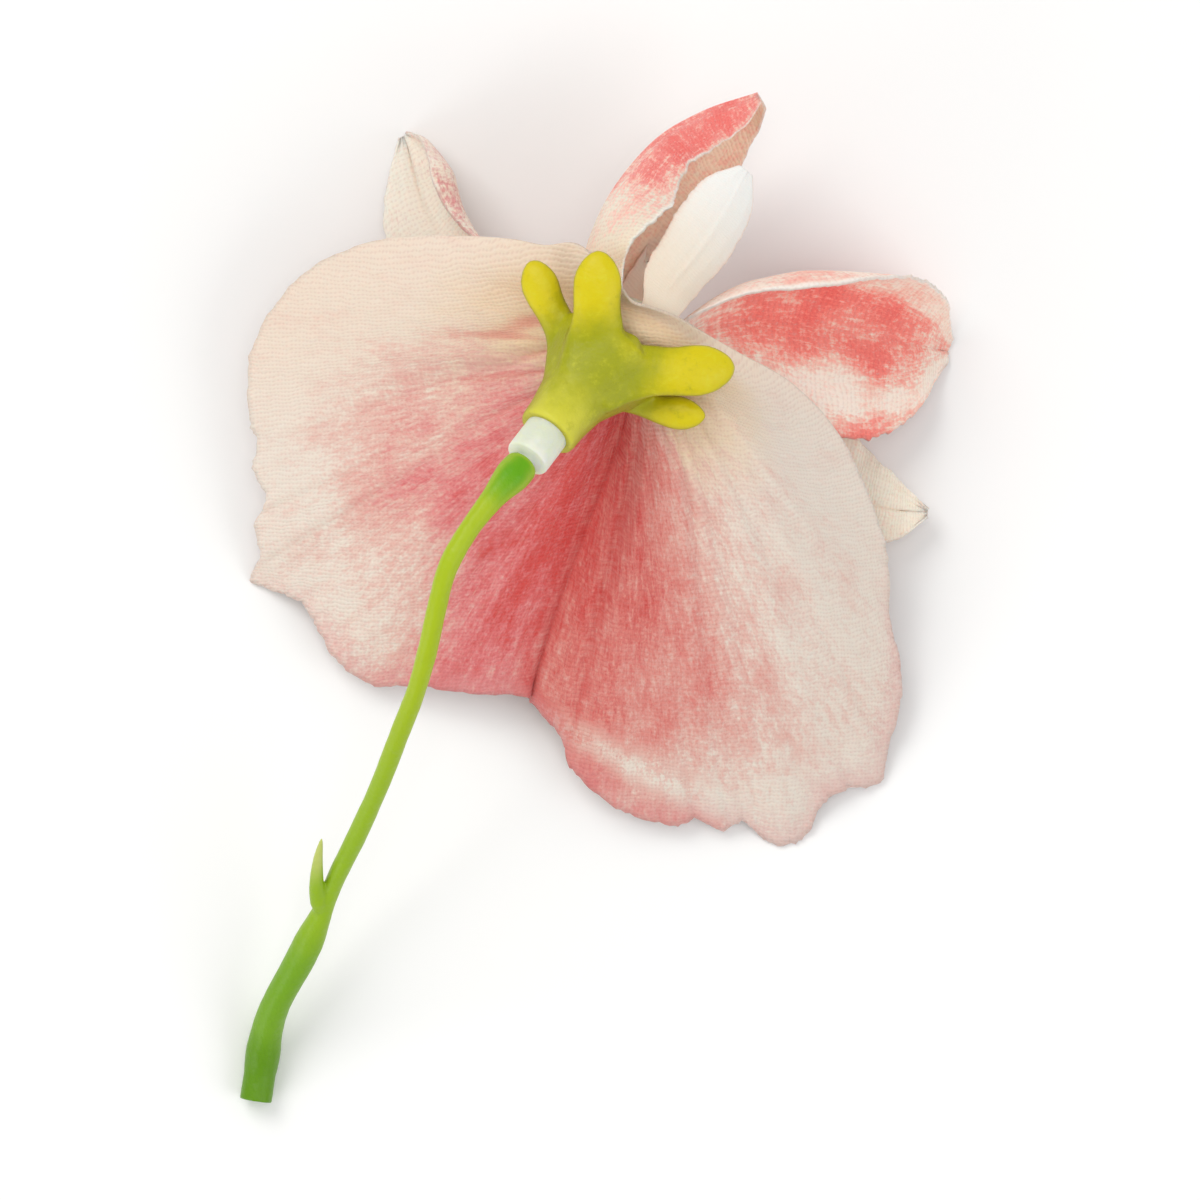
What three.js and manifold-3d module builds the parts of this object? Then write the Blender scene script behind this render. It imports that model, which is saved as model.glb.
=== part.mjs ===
// A fabric sweet pea bloom, as picked: one flower on its own moulded stalk, lying face down on a surface.
// The stalk's cup takes the tail of a white peg. The peg carries the calyx and, on its tip, three pieces of
// cloth: the big banner, the four-lobed wings and the small two-lobed keel, held by the peg's head.
//
// Millimetres, +Z up. Plan positions are measured from the calyx mouth, heights from the surface below.
// The group is moved at the end, so that the origin is below the middle of the whole flower.
import * as THREE from "three";
import { mergeVertices } from "three/addons/utils/BufferGeometryUtils.js";
import Module from "manifold-3d";

const wasm = await Module();
wasm.setup();

// How the flower lies
const MOUTH_HEIGHT = 25;
const HEADING_DEG = 53; // the way the bloom faces, seen from above
const DIP_DEG = 28; // how far it faces down
const PLAN_CENTRE = [-1.24, -23.39]; // middle of the flower's box, seen from above

// The peg and the moulded pieces on it, measured along the bloom's axis from the calyx mouth
const PEG_TIP_R = 1.4;
const PEG_SHANK_R = 2.1;
const PEG_TAIL_R = 0.8;
const PEG_TAIL_LENGTH = 2.4;
const PEG_HEAD_R = 2.4;
const CALYX_BASE = -11.6;
const CALYX_RIM = -1.7;
const CALYX_RIM_R = 4.9;
const STALK_END = -15.4;
const GAP = 0.3; // between pieces that touch

// The cloth
const CLOTH = 0.6;
const HUB_HOLE_R = PEG_TIP_R + GAP;
const HUB_R = 3.1;
const HUB_STEP = CLOTH + 1.7 * GAP;
// Each cloth piece's place on the axis, and how far it opens forward where it leaves its hub, in degrees
const BANNER_HUB = { along: 0.3, lean: 28 };
const WINGS_HUB = { along: BANNER_HUB.along + HUB_STEP, lean: 40 };
const KEEL_HUB = { along: WINGS_HUB.along + HUB_STEP, lean: 56 };

const colours = {
  cloth: 0xe9a9a2,
  keel: 0xf2e6d3,
  calyx: 0xb3b41e,
  peg: 0xe4e8dc,
  stalk: 0x93bd33,
};

// The bloom's own directions: side is level, rise is up from the axis, and axis runs from stalk to face.
const radians = THREE.MathUtils.degToRad;
const heading = radians(HEADING_DEG);
const dip = radians(DIP_DEG);
const level = new THREE.Vector3(Math.cos(heading), Math.sin(heading), 0);
const up = new THREE.Vector3(0, 0, 1);
const side = new THREE.Vector3(Math.sin(heading), -Math.cos(heading), 0);
const axis = level.clone().multiplyScalar(Math.cos(dip)).addScaledVector(up, -Math.sin(dip));
const rise = level.clone().multiplyScalar(Math.sin(dip)).addScaledVector(up, Math.cos(dip));
const mouth = new THREE.Vector3(0, 0, MOUTH_HEIGHT);

// A direction that leaves the axis at an angle round it, from the side direction, and leans to the face.
function spoke(angle, lean = 0) {
  const flat = side.clone().multiplyScalar(Math.cos(angle)).addScaledVector(rise, Math.sin(angle));
  return flat.multiplyScalar(Math.cos(lean)).addScaledVector(axis, Math.sin(lean));
}

function onRing(along, radius, angle) {
  return mouth.clone().addScaledVector(axis, along).addScaledVector(spoke(angle), radius);
}

const point = ([x, y, height]) => new THREE.Vector3(x, y, height);
const smooth = (x, low, high) => THREE.MathUtils.smoothstep(x, low, high);

// A smooth line through [position, value] stops.
function profile(stops, x) {
  const last = stops.length - 1;
  let i = 0;
  while (i < last - 1 && x > stops[i + 1][0]) i++;
  const [x0, y0] = stops[i];
  const [x1, y1] = stops[i + 1];
  const t = THREE.MathUtils.clamp((x - x0) / (x1 - x0), 0, 1);
  const slopeAt = (k) => {
    const [before, after] = [stops[Math.max(k - 1, 0)], stops[Math.min(k + 1, last)]];
    return (after[1] - before[1]) / (after[0] - before[0]);
  };
  const [m0, m1] = [slopeAt(i) * (x1 - x0), slopeAt(i + 1) * (x1 - x0)];
  const [t2, t3] = [t * t, t * t * t];
  return (2 * t3 - 3 * t2 + 1) * y0 + (t3 - 2 * t2 + t) * m0 + (3 * t2 - 2 * t3) * y1 + (t3 - t2) * m1;
}

// Solids
function solidFrom(geometry) {
  const bare = geometry.clone();
  for (const name of Object.keys(bare.attributes)) if (name !== "position") bare.deleteAttribute(name);
  const merged = mergeVertices(bare, 1e-4);
  const vertProperties = new Float32Array(merged.attributes.position.array);
  const triVerts = new Uint32Array(merged.index.array);
  return new wasm.Manifold(new wasm.Mesh({ numProp: 3, vertProperties, triVerts }));
}

function geometryFrom(solid) {
  const mesh = solid.getMesh();
  const geometry = new THREE.BufferGeometry();
  geometry.setAttribute("position", new THREE.BufferAttribute(new Float32Array(mesh.vertProperties), 3));
  geometry.setIndex(new THREE.BufferAttribute(new Uint32Array(mesh.triVerts), 1));
  return geometry;
}

// What lies below the surface is pressed flat there, which leaves the small spots that the flower rests on.
const FLOOR_DEPTH = 20;
const floorBox = new THREE.BoxGeometry(400, 400, FLOOR_DEPTH).translate(0, 0, -FLOOR_DEPTH / 2);
const floorSolid = solidFrom(floorBox);
const restOnSurface = (solid) => solid.subtract(floorSolid);

// Cloth: grids of points that share their edges, welded and thickened by the same amount on both faces.
function clothSolid(grids) {
  const points = [];
  const found = new Map();
  const weld = (p) => {
    const key = [p.x, p.y, p.z].map((value) => Math.round(value * 1e3)).join();
    if (!found.has(key)) {
      found.set(key, points.length);
      points.push(p);
    }
    return found.get(key);
  };
  const triangles = [];
  for (const rows of grids) {
    const ids = rows.map((row) => row.map(weld));
    for (let i = 0; i + 1 < ids.length; i++) {
      for (let j = 0; j + 1 < ids[i].length; j++) {
        const [a, b, c, d] = [ids[i][j], ids[i][j + 1], ids[i + 1][j + 1], ids[i + 1][j]];
        for (const t of [[a, b, c], [a, c, d]]) if (new Set(t).size === 3) triangles.push(t);
      }
    }
  }
  const normals = points.map(() => new THREE.Vector3());
  for (const [a, b, c] of triangles) {
    const one = points[b].clone().sub(points[a]);
    const face = one.cross(points[c].clone().sub(points[a]));
    for (const k of [a, b, c]) normals[k].add(face);
  }
  normals.forEach((n) => n.normalize());
  const count = points.length;
  const vertices = [];
  for (const half of [CLOTH / 2, -CLOTH / 2]) {
    points.forEach((p, k) => vertices.push(...p.clone().addScaledVector(normals[k], half)));
  }
  const faces = [];
  const edges = new Set(triangles.flatMap(([a, b, c]) => [`${a},${b}`, `${b},${c}`, `${c},${a}`]));
  for (const [a, b, c] of triangles) {
    faces.push(a, b, c, count + a, count + c, count + b);
    for (const [from, to] of [[a, b], [b, c], [c, a]]) {
      if (!edges.has(`${to},${from}`)) faces.push(to, from, count + from, to, count + from, count + to);
    }
  }
  const geometry = new THREE.BufferGeometry();
  geometry.setAttribute("position", new THREE.Float32BufferAttribute(vertices, 3));
  geometry.setIndex(faces);
  return restOnSurface(solidFrom(geometry));
}

// The banner: one cloth piece with two broad lobes and a crease between them.
// Its cut edge, walked anticlockwise from the claw behind the calyx: [x, y, height].
const bannerEdge = [
  [-0.2, 6.4, 28.6], [-3.3, 9.2, 27], [-6.4, 9.2, 24.6], [-9.4, 9.8, 22.4], [-13.2, 10.1, 19.4],
  [-18.4, 10.2, 15.6], [-23.2, 9.5, 12.4], [-28, 7.3, 9.8], [-31.6, 3.6, 8], [-33.8, -1.4, 6.6],
  [-33.7, -6.6, 5.8], [-33, -8.8, 5.8], [-33.4, -11.4, 5], [-32.2, -13.9, 5], [-33.3, -16.4, 3.4],
  [-32.8, -19.1, 2.8], [-33.8, -21.5, -0.2], [-31.2, -22.6, 1.6], [-28.8, -23.8, 2.8], [-27.4, -26.2, 3.2],
  [-25.8, -28.8, 3.2], [-22.6, -31.2, 2.8], [-18.6, -31.3, 3.8], [-14, -31.9, 4.8], [-8.4, -32.3, 4.6],
  [-7.5, -33, 3.8], [-4.8, -36.1, 5.2], [-4, -38.8, 5], [-1, -41.8, 3.8], [2.4, -43.6, 2.8],
  [6, -44.3, 2], [7.8, -43.7, 2.4], [10.2, -44.8, 1.4], [12, -43.9, 1.6], [13.8, -45.4, 0.3],
  [15.8, -46.2, -0.3], [18, -45.2, 0.1], [19.5, -42.3, 1.6], [21.8, -40.9, 1.5], [24.8, -40.4, 0.5],
  [25.4, -37.7, 1.4], [26.6, -33.2, 3], [26.6, -29, 3.8], [25.6, -25.2, 5], [25.4, -19.5, 6.6],
  [23.4, -13.2, 9.6], [20.6, -7.8, 12.6], [16.4, -3.4, 17], [11.4, -0.6, 22.2], [8.2, 1.2, 25.8],
  [5.6, 2.6, 28.2], [3.4, 3.4, 29.4], [1.6, 4, 29.8],
];
const CLAW_TWIST_DEG = 18; // how far round the banner turns where it leaves its hub
const CREASE_AT = 24.8 / bannerEdge.length; // place of the notch along the edge
const CREASE = { depth: 2.2, width: 0.035 }; // the groove below the lobes, its width as a share of the edge
const SHOULDER = { height: 1.3, width: 0.11 }; // how the lobes rise beside it
const CLAW = { share: 0.36, most: 6.5 }; // how far the cloth runs straight out of its hub
const LANDING = { share: 0.62, lift: 0.14 }; // where and how much it bulges before its edge
const BANNER_AROUND = 106;
const BANNER_OUT = 7;
const bannerCurve = new THREE.CatmullRomCurve3(bannerEdge.map(point), true, "catmullrom", 0.5);

// The edge without its small scallops, which die out a little way in from it.
function softEdge(around) {
  const sum = new THREE.Vector3();
  const spread = [-3, -2, -1, 0, 1, 2, 3];
  for (const k of spread) sum.add(bannerCurve.getPoint((around + (1.3 * k) / bannerEdge.length + 1) % 1));
  return sum.divideScalar(spread.length);
}

function bannerPoint(around, out) {
  const edge = bannerCurve.getPoint(around);
  const soft = softEdge(around);
  const flat = new THREE.Vector3(soft.x, soft.y, 0);
  const angle = Math.atan2(flat.dot(level), flat.dot(side)) + radians(CLAW_TWIST_DEG);
  const root = onRing(BANNER_HUB.along, HUB_R, angle);
  const span = soft.clone().sub(root);
  const reach = Math.hypot(span.x, span.y);
  const opening = spoke(angle, radians(BANNER_HUB.lean));
  const leaving = root.clone().addScaledVector(opening, Math.min(CLAW.most, CLAW.share * span.length()));
  const landing = root.clone().addScaledVector(span, LANDING.share).addScaledVector(up, LANDING.lift * reach);
  const p = new THREE.CubicBezierCurve3(root, leaving, landing, soft).getPoint(out);
  p.addScaledVector(edge.sub(soft), out ** 4);
  const broad = smooth(reach, 12, 30) * Math.sin(Math.PI * Math.min(1, out * 1.02)) ** 1.2;
  const fromCrease = Math.abs(around - CREASE_AT);
  const shoulder = SHOULDER.height * smooth(fromCrease, 0, SHOULDER.width);
  p.z += broad * (shoulder - CREASE.depth * Math.exp(-((fromCrease / CREASE.width) ** 2)));
  return p;
}

// The flat hub round the peg, whose rim meets the cloth at the given angles.
function hubGrid(along, angles) {
  return angles.map((angle) => [HUB_HOLE_R, HUB_R].map((r) => onRing(along, r, angle)));
}

const steps = (count) => Array.from({ length: count + 1 }, (_, k) => k / count);

function banner() {
  const arounds = steps(BANNER_AROUND).map((around) => around % 1);
  const rows = arounds.map((around) => steps(BANNER_OUT).map((out) => bannerPoint(around, out)));
  const hub = rows.map(([rim]) => {
    const spread = rim.clone().sub(mouth);
    return Math.atan2(spread.dot(rise), spread.dot(side));
  });
  return clothSolid([rows, hubGrid(BANNER_HUB.along, hub)]);
}

// A lobe leaves its hub's rim over a short arc and follows a path of its own.
// Each side has its own width and rolls up by its own angle towards the way the lobe faces.
const LOBE_OPENING = 12; // how far a lobe would run straight out of its hub
const LOBE_BLEND = 0.3; // share of its length over which it turns to its own path
const LOBE_ALONG = 14;
const LOBE_ACROSS = 10;
const HUB_FACET_DEG = 24;
const tipWidth = [[0, 1.5], [0.25, 4.6], [0.5, 6], [0.75, 4], [0.92, 1.8], [1, 0.4]];
const keelWidth = [[0, 1.5], [0.3, 3], [0.6, 3.7], [0.85, 2.8], [1, 0.8]];

const wingLobes = [
  {
    ring: 198, arc: 22, facing: [-0.1, 0.3, 1],
    path: [[-5, 4.6, 16.6], [-12, 7, 10], [-17, 12.1, 4.6], [-19.5, 19.8, 0.1]],
    left: [[0, 1.5], [0.25, 4], [0.5, 6], [0.75, 5.8], [0.93, 2.8], [1, 0.5]],
    right: [[0, 1.5], [0.25, 2.2], [0.5, 4], [0.65, 7], [0.78, 9.2], [0.93, 5.2], [1, 0.8]],
    leftRoll: [[0, 0], [0.33, -0.35], [0.65, -0.7], [1, -0.7]],
    rightRoll: [[0, 0], [0.25, 0.9], [0.5, 2.2], [0.65, 2.6], [0.8, 2.6], [1, 2.3]],
  },
  {
    ring: 134, arc: 20, facing: [0.8, -0.5, 0],
    path: [[-2.8, 6.5, 22.6], [-0.5, 13, 19.6], [3.8, 18.4, 17.8], [8.4, 21.3, 17.4], [13.4, 23, 18]],
    left: [
      [0, 1.5], [0.15, 4], [0.25, 6.2], [0.35, 7.8], [0.5, 7.2], [0.65, 5.4], [0.8, 4.6], [0.92, 3.2],
      [1, 0.6],
    ],
    right: [[0, 1.5], [0.25, 5.4], [0.5, 10.2], [0.75, 10.4], [0.92, 6.4], [1, 2.6]],
    leftRoll: [[0, 0], [0.25, 0.8], [0.5, 1.6], [1, 1.6]],
    rightRoll: [[0, 0], [0.25, 0.95], [0.5, 1.8], [0.8, 1.8], [1, 1.2]],
  },
  {
    ring: 8, arc: 24, facing: [0.1, 0.1, 1],
    path: [[8, 1.4, 19], [15, 2.2, 12.8], [22, 1.5, 7.4], [28, 0.4, 2.8], [31.2, -0.3, 0.1]],
    left: [
      [0, 1.5], [0.2, 6], [0.3, 8.6], [0.4, 10.4], [0.5, 10.2], [0.6, 9.2], [0.73, 7.2], [0.87, 4.6],
      [1, 1.4],
    ],
    right: [[0, 1.5], [0.25, 5.6], [0.5, 10], [0.62, 10.2], [0.74, 8.4], [0.87, 4.6], [1, 1.2]],
    leftRoll: [
      [0, 0.4], [0.2, 2], [0.3, 2.5], [0.4, 2.5], [0.5, 2.2], [0.6, 1.85], [0.73, 1.35], [0.87, 1],
      [1, 0.8],
    ],
    rightRoll: [[0, 0], [0.33, 0.15], [0.65, 0.3], [1, 0.3]],
  },
  {
    ring: -52, arc: 26, facing: [0, 0, 1],
    path: [[6, -4.4, 15.6], [13, -9, 8.6], [20.6, -13.4, 5], [25.4, -14.9, 4], [29.2, -15.3, 3.2]],
    left: tipWidth,
    right: tipWidth,
    leftRoll: [[0, 0], [0.25, -0.2], [0.5, -0.4], [1, -0.4]],
    rightRoll: [[0, 0], [0.25, 0.25], [0.5, 0.5], [1, 0.5]],
  },
];

const keelLobes = [
  {
    ring: 66, arc: 26, facing: [-0.35, 0.25, -0.9],
    path: [[4.8, 4.9, 25.4], [8, 9, 24.2], [10.4, 12.7, 22.8], [12.2, 16.1, 21.4]],
    left: keelWidth,
    right: keelWidth,
    leftRoll: [[0, 0], [0.2, 0.3], [0.4, 0.6], [1, 0.6]],
    rightRoll: [[0, 0], [0.2, 0.3], [0.4, 0.6], [1, 0.6]],
  },
  {
    ring: -98, arc: 26, facing: [-0.1, 0.2, 1],
    path: [[3.1, 4, 17], [6.9, 7.1, 12], [9.7, 10.6, 9], [12, 13.6, 7.2]],
    left: keelWidth,
    right: keelWidth,
    leftRoll: [[0, 0], [0.2, 0.4], [0.4, 0.8], [1, 0.8]],
    rightRoll: [[0, 0], [0.2, 0.4], [0.4, 0.8], [1, 0.8]],
  },
];

function lobePoint(lobe, hub, along, across) {
  const angle = radians(lobe.ring + lobe.arc * across);
  const opening = spoke(angle, radians(hub.lean));
  const fromRim = onRing(hub.along, HUB_R, angle).addScaledVector(opening, along * LOBE_OPENING);
  const start = onRing(hub.along, HUB_R, radians(lobe.ring));
  const path = new THREE.CatmullRomCurve3([start, ...lobe.path.map(point)], false, "catmullrom", 0.5);
  const centre = path.getPoint(along);
  const heads = path.getTangent(along);
  const facing = point(lobe.facing);
  facing.addScaledVector(heads, -facing.dot(heads)).normalize();
  const outward = heads.clone().cross(facing);
  const half = profile(across < 0 ? lobe.left : lobe.right, along);
  const roll = profile(across < 0 ? lobe.leftRoll : lobe.rightRoll, along) + 1e-3;
  const turn = roll * Math.abs(across);
  const body = centre
    .addScaledVector(outward, (Math.sign(across) * half * Math.sin(turn)) / roll)
    .addScaledVector(facing, (half * (1 - Math.cos(turn))) / roll);
  return fromRim.lerp(body, smooth(along, 0, LOBE_BLEND));
}

function lobedCloth(lobes, hub) {
  const cross = steps(LOBE_ACROSS).map((k) => 2 * k - 1);
  const gridOf = (lobe) => cross.map((v) => steps(LOBE_ALONG).map((u) => lobePoint(lobe, hub, u, v)));
  const grids = lobes.map(gridOf);
  const rim = lobes.flatMap((lobe) => cross.map((v) => (lobe.ring + lobe.arc * v + 360) % 360));
  rim.sort((a, b) => a - b);
  rim.push(rim[0] + 360);
  const angles = [];
  for (let k = 0; k + 1 < rim.length; k++) {
    const width = rim[k + 1] - rim[k];
    const parts = Math.max(1, Math.ceil(width / HUB_FACET_DEG));
    for (let part = 0; part < parts; part++) angles.push(radians(rim[k] + (width * part) / parts));
  }
  angles.push(angles[0]);
  return clothSolid([...grids, hubGrid(hub.along, angles)]);
}

// A stem-like body: rings of a given width and thickness along a curve, closed at both ends.
function sweptSolid(curve, steps, sides, sizeAt, facing) {
  const rings = [];
  for (let i = 0; i <= steps; i++) {
    const u = i / steps;
    const centre = curve.getPoint(u);
    const heads = curve.getTangent(u);
    const lift = facing.clone().addScaledVector(heads, -facing.dot(heads)).normalize();
    const across = heads.clone().cross(lift);
    const [half, thick] = sizeAt(u);
    rings.push(
      Array.from({ length: sides }, (_, k) => {
        const turn = (2 * Math.PI * k) / sides;
        const [sideways, upwards] = [half * Math.cos(turn), thick * Math.sin(turn)];
        return centre.clone().addScaledVector(across, sideways).addScaledVector(lift, upwards);
      }),
    );
  }
  const vertices = [curve.getPoint(0), ...rings.flat(), curve.getPoint(1)].flatMap((p) => [...p]);
  const faces = [];
  const at = (i, k) => 1 + i * sides + (k % sides);
  const last = 1 + rings.length * sides;
  for (let k = 0; k < sides; k++) {
    faces.push(0, at(0, k), at(0, k + 1));
    for (let i = 0; i < steps; i++) {
      faces.push(at(i, k), at(i + 1, k), at(i + 1, k + 1), at(i, k), at(i + 1, k + 1), at(i, k + 1));
    }
    faces.push(last, at(steps, k + 1), at(steps, k));
  }
  const geometry = new THREE.BufferGeometry();
  geometry.setAttribute("position", new THREE.Float32BufferAttribute(vertices, 3));
  geometry.setIndex(faces);
  const solid = solidFrom(geometry);
  if (solid.volume() > 0) return solid;
  geometry.setIndex(faces.reverse());
  return solidFrom(geometry);
}

// A turned body on the bloom's axis, from [along, radius] stops.
function turnedSolid(stops, sides) {
  const outline = stops.map(([along, radius]) => new THREE.Vector2(radius, along));
  const lathe = new THREE.LatheGeometry(outline, sides);
  const matrix = new THREE.Matrix4().makeBasis(side, axis, rise.clone().negate()).setPosition(mouth);
  lathe.applyMatrix4(matrix);
  const solid = solidFrom(lathe);
  if (solid.volume() > 0) return solid;
  const geometry = geometryFrom(solid);
  geometry.setIndex([...geometry.index.array].reverse());
  return solidFrom(geometry);
}

// The peg: a tail in the stalk's cup, a shank in the calyx and a thin tip with a head that holds the cloth.
const PEG_SHANK_END = -3;
const PEG_HEAD_FROM = KEEL_HUB.along + CLOTH / 2 + GAP;

function peg() {
  const collar = STALK_END + 1.6 * GAP;
  return turnedSolid(
    [
      [collar - PEG_TAIL_LENGTH, 0], [collar - PEG_TAIL_LENGTH, PEG_TAIL_R], [collar, PEG_TAIL_R],
      [collar, PEG_SHANK_R], [PEG_SHANK_END, PEG_SHANK_R], [PEG_SHANK_END, PEG_TIP_R],
      [PEG_HEAD_FROM, PEG_TIP_R], [PEG_HEAD_FROM, PEG_HEAD_R], [PEG_HEAD_FROM + 0.7, PEG_HEAD_R],
      [PEG_HEAD_FROM + 1.8, PEG_TIP_R], [PEG_HEAD_FROM + 2.1, 0],
    ],
    24,
  );
}

// The calyx: a flared tube with five thick tongues that lie back over the banner, two of them webbed.
const calyxTongues = [
  { ring: 176, tip: [-7.6, 7.8, 27.2], half: 1.75, root: 1.2 },
  { ring: 112, tip: [-1.3, 8.6, 31.6], half: 2.15, root: 1.1 },
  { ring: 32, tip: [11.2, -1.7, 27.6], half: 2.3, root: 0.85 },
  { ring: -30, tip: [8.5, -6.6, 26], half: 1.6, root: 0.6 },
  { ring: -112, tip: [-3.4, -7.6, 19.4], half: 1.9, root: 1 },
];
const calyxWeb = { ring: 72, tip: [1.6, 0.8, 29.2], half: 1.5, root: 0.9 };
const TONGUE_TAPER_FROM = 0.68;

function calyx() {
  const bore = PEG_SHANK_R + GAP;
  const seat = BANNER_HUB.along - CLOTH / 2 - GAP;
  const stepAt = PEG_SHANK_END + GAP;
  const tube = turnedSolid(
    [
      [CALYX_BASE, bore], [CALYX_BASE, 2.8], [-9.5, 2.95], [-7, 3.25], [-4.8, 3.75], [-3, 4.4],
      [CALYX_RIM, CALYX_RIM_R], [CALYX_RIM + 0.15, CALYX_RIM_R - 0.5], [-1.2, 3.6], [seat, 3],
      [seat, PEG_TIP_R + GAP], [stepAt, PEG_TIP_R + GAP], [stepAt, bore], [CALYX_BASE, bore],
    ],
    24,
  );
  const tongue = ({ ring, tip, half, root }) => {
    const angle = radians(ring);
    const start = onRing(-6.4, 2.5, angle);
    const rim = onRing(-2.9, 4.2, angle);
    const end = point(tip);
    const middle = rim.clone().lerp(end, 0.5).addScaledVector(spoke(angle), 0.3);
    const curve = new THREE.CatmullRomCurve3([start, rim, middle, end], false, "catmullrom", 0.5);
    const size = (u) => {
      const towardsTip = Math.max(0, (u - TONGUE_TAPER_FROM) / (1.02 - TONGUE_TAPER_FROM));
      const taper = Math.sqrt(1 - towardsTip ** 2.1);
      const widths = [[0, 0.8 * root], [0.3, 1.15 * root], [0.55, 0.5 + 0.5 * root], [0.8, 1.08], [1, 1]];
      return [half * profile(widths, u) * taper, 0.9 * (0.35 + 0.65 * taper)];
    };
    return sweptSolid(curve, 11, 10, size, up.clone().addScaledVector(spoke(angle), 0.35));
  };
  const shaft = turnedSolid([[-8, 0], [-8, bore], [stepAt, bore], [stepAt, 1.7], [2, 1.7], [2, 0]], 24);
  return [...calyxTongues, calyxWeb].reduce((body, t) => body.add(tongue(t).subtract(shaft)), tube);
}

// The stalk: from the cup that takes the peg, over the banner and down to the cut end on the surface.
const stalkPath = [
  [-10.6, -13.6, 34], [-13.2, -17, 35], [-15.1, -20.4, 35], [-16.1, -24, 33.9], [-17, -28, 31.8],
  [-18.1, -31.8, 29], [-19.6, -35.6, 25.7], [-21.5, -40.4, 21.2], [-23.6, -45, 16.8],
  [-25.6, -49, 13.2], [-27.2, -52.8, 10.2], [-29, -56.6, 7.6], [-31.2, -60.6, 5.2],
  [-32.7, -63.6, 3.2], [-32.6, -66.8, 1.7], [-33, -70, 1.4],
];
const stalkRadius = [
  [0, 1.6], [0.035, 1.6], [0.075, 1.2], [0.12, 0.97], [0.6, 0.92], [0.67, 0.93], [0.73, 1.42],
  [0.8, 1.3], [0.87, 1.45], [0.915, 1.75], [0.95, 1.45], [1, 1.65],
];
const bractPath = [[-26.9, -53, 10.4], [-27.4, -50.2, 12.9], [-27.3, -47.6, 15.2], [-26.9, -45.4, 17.4]];

function stalk() {
  const start = onRing(STALK_END, 0, 0);
  const curve = new THREE.CatmullRomCurve3([start, ...stalkPath.map(point)], false, "catmullrom", 0.5);
  const round = (u) => {
    const r = profile(stalkRadius, u);
    return [r, r];
  };
  const stem = sweptSolid(curve, 48, 12, round, up);
  const spike = new THREE.CatmullRomCurve3(bractPath.map(point), false, "catmullrom", 0.5);
  const thin = (u) => [0.85 * (1 - u) ** 0.7 + 0.12, 0.7 * (1 - u) ** 0.7 + 0.12];
  const bract = sweptSolid(spike, 6, 8, thin, up);
  const depth = PEG_TAIL_LENGTH + 2 * GAP;
  const bore = PEG_TAIL_R + 1.4 * GAP;
  const socket = turnedSolid(
    [[STALK_END - depth, 0], [STALK_END - depth, bore], [STALK_END + 2, bore], [STALK_END + 2, 0]],
    16,
  );
  return restOnSurface(stem.add(bract).subtract(socket));
}

function piece(name, solid, colour, roughness) {
  const geometry = geometryFrom(solid);
  geometry.computeVertexNormals();
  const material = new THREE.MeshStandardMaterial({ color: colour, roughness, metalness: 0 });
  const mesh = new THREE.Mesh(geometry, material);
  mesh.name = name;
  return mesh;
}

const flower = new THREE.Group();
flower.name = "sweet_pea_flower";
flower.add(
  piece("stalk", stalk(), colours.stalk, 0.45),
  piece("peg", peg(), colours.peg, 0.4),
  piece("calyx", calyx(), colours.calyx, 0.4),
  piece("banner", banner(), colours.cloth, 0.85),
  piece("wings", lobedCloth(wingLobes, WINGS_HUB), colours.cloth, 0.85),
  piece("keel", lobedCloth(keelLobes, KEEL_HUB), colours.keel, 0.85),
);
flower.position.set(-PLAN_CENTRE[0], -PLAN_CENTRE[1], 0);

export default flower;
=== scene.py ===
# %% [markdown]
# # A fabric sweet pea bloom
# The flower is a bought thing, made of woven cloth and moulded plastic. Three cut pieces of cloth, two of
# them printed, are threaded on a plastic peg, behind them sits a moulded calyx, and the peg's tail is pushed
# into the cup of a green stalk. It lies face down, so the camera looks at its back. The packed solids give
# the size and the place of every piece, and this lesson builds the surfaces that the eye sees around them.

# %% Load the packed solids
import math

import bpy
import numpy as np
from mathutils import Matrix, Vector, kdtree


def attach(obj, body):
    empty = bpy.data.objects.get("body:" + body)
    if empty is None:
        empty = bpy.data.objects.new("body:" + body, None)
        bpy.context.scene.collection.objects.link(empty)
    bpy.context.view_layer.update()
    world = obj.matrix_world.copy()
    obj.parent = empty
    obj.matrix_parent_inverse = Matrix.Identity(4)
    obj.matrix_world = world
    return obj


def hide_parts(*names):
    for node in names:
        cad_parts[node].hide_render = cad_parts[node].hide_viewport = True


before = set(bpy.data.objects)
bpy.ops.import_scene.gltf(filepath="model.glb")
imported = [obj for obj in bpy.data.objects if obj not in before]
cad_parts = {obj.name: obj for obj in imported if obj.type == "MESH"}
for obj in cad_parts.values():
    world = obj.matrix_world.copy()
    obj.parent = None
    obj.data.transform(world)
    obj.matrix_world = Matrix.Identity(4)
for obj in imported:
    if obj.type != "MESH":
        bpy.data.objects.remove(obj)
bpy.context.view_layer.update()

MM = 0.001
print("pieces in the frame:", sorted(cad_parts))

# %% [markdown]
# ## The bloom's own directions
# Every piece is threaded on one slanting axis, so it helps to give places as "how far along the axis, how
# far out, at which angle round it". The mouth of the calyx is the zero of that count. Lengths are millimetres
# until a mesh is made, because cloth and small plastic parts are easier to judge in them.

# %% The axis and its spokes
MOUTH = np.array([1.24, 23.39, 25.0])
HEADING, DIP = math.radians(53), math.radians(28)
UP = np.array([0.0, 0.0, 1.0])
LEVEL = np.array([math.cos(HEADING), math.sin(HEADING), 0.0])
SIDE = np.array([math.sin(HEADING), -math.cos(HEADING), 0.0])
AXIS = LEVEL * math.cos(DIP) - UP * math.sin(DIP)
RISE = LEVEL * math.sin(DIP) + UP * math.cos(DIP)


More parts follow.
